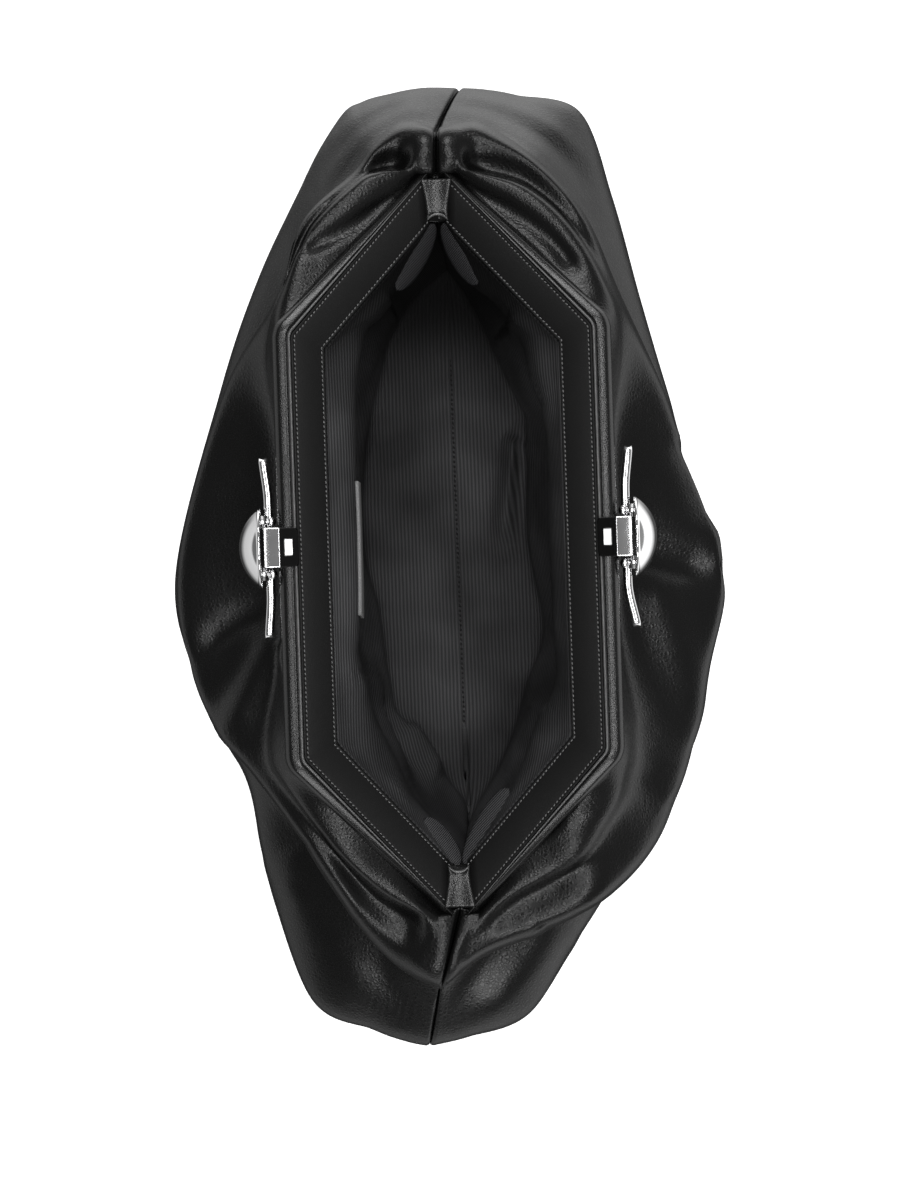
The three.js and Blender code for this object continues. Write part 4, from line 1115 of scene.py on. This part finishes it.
# Clasp ornaments: outside each block a polished dome with a thin flange, and a bar to each side of it that
# curls outwards at its tip, held by small round knuckles.
DOME_Z = 114
DOME_SEGMENTS = 96
DOME_SEAT = 65.7
DOME_CAP = (14.1, 7.2)
DOME_CAP_STEPS = 28
DOME_POLE = 0.001
# Columns: radius, out, from the back of the flange over its edge to the foot of the dome.
DOME_FLANGE = (
    (0.02, 64.6), (13.6, 64.6), (14.2, 64.65), (14.45, 64.9), (14.5, 65.2), (14.4, 65.5), (14.2, 65.65),
)
BAR_Z = 114
BAR_FROM = 7.5
BAR_TIP = 31.5
BAR_OUT_AT = 62
BAR_HALF = (1.65, 3)
BAR_STEPS = 40
BAR_SQUARE = 0.55
BAR_TIP_DRAWN = 0.97
BAR_TIP_THICK = 0.8
BAR_ROUNDED_FROM = (0.9, 1)
BAR_CURL_FROM = (0.35, 1.1)
SMALL_AROUND = 24
# How far each half's two bars curl outwards, in the order of the clasp's way along.
BAR_CURLS = {"front": (1.15, 1.495), "back": (1.61, 2.76)}
# Columns: X, or X from and to, out, height, radius.
KNUCKLE_BALL = (9.2, 61, 118, 1.7)
KNUCKLE_POST = (6.8, 11.2, 64, 118.6, 1.6)
BALL_RINGS = 17
BALL_POLE = 0.02
POST_RINGS = 6
POST_TURN = (0.05, math.pi / 2)
POST_DISH = 0.5
POST_END = 0.75


def turned_dome():
    """The dome turned about its axis: a thin rounded flange and, seated on it, a cap of a ball."""
    foot, height = DOME_CAP
    ball_radius = (foot**2 + height**2) / (2 * height)
    slope = np.linspace(math.asin(foot / ball_radius), DOME_POLE, DOME_CAP_STEPS)
    cap_out = DOME_SEAT + height - ball_radius * (1 - np.cos(slope))
    radius, out = np.concatenate([DOME_FLANGE, np.stack([ball_radius * np.sin(slope), cap_out], axis=1)]).T
    angle = around(DOME_SEGMENTS)
    x, rise = radius[:, None] * np.cos(angle), DOME_Z + radius[:, None] * np.sin(angle)
    return np.stack([x, np.broadcast_to(out[:, None], x.shape), rise], axis=-1)


def curled_bar(end, curl):
    """A bar: a rounded flat section carried along X, turning outwards and drawn in towards its tip."""
    t = np.linspace(0, 1, BAR_STEPS + 1)
    angle = around(SMALL_AROUND)
    flat = np.stack([np.cos(angle), np.sin(angle)], axis=-1)
    flat = np.sign(flat) * np.abs(flat)**BAR_SQUARE
    drawn = np.sqrt(1 - BAR_TIP_DRAWN * smoothstep(*BAR_ROUNDED_FROM, t)**2)
    thick, wide = BAR_HALF
    half = np.stack([thick * (BAR_TIP_THICK + (1 - BAR_TIP_THICK) * drawn), wide * drawn], axis=-1)
    out = BAR_OUT_AT + curl * smoothstep(*BAR_CURL_FROM, t)
    middle = np.stack([out, np.full_like(t, BAR_Z)], axis=-1)
    return carried(end * (BAR_FROM + (BAR_TIP - BAR_FROM) * t), middle[:, None] + half[:, None] * flat)


def round_rings(x, size, out, up):
    """Round rings of the given sizes about a line along X."""
    angle = around(SMALL_AROUND)
    return carried(x, [out, up] + size[:, None, None] * np.stack([np.cos(angle), np.sin(angle)], axis=-1))


def ball(x, out, up, radius):
    """A ball as rings about a line along X."""
    turn = np.linspace(BALL_POLE, math.pi - BALL_POLE, BALL_RINGS)
    return round_rings(x - radius * np.cos(turn), radius * np.sin(turn), out, up)


def post(x_from, x_to, out, up, radius):
    """A short round post along X, each end dished on a quarter circle."""
    turn = np.linspace(*POST_TURN, POST_RINGS)
    near, far = sorted((x_from, x_to))
    dish = POST_DISH * (1 - np.sin(turn))
    size = radius * (POST_END + (1 - POST_END) * np.sin(turn))
    return round_rings(np.concatenate([near + dish, (far - dish)[::-1]]), np.concatenate([size, size[::-1]]),
                       out, up)


ball_x, *ball_rest = KNUCKLE_BALL
post_from, post_to, *post_rest = KNUCKLE_POST
for name, side in HALVES:
    solids = [(turned_dome(), False)]
    for end, curl in zip((-1, 1), BAR_CURLS[name]):
        solids.append((curled_bar(end, curl), end > 0))
        solids.append((ball(end * ball_x, *ball_rest), True))
        solids.append((post(end * post_from, end * post_to, *post_rest), True))
    parts = [(on_clasp(side, rings).reshape(-1, 3), tube_faces(rings, turned))
             for rings, turned in solids]
    piece(f"clasp_dome_{name}", *as_one(parts), metal, "clasp_metal", f"clasp_ornament_{name}")
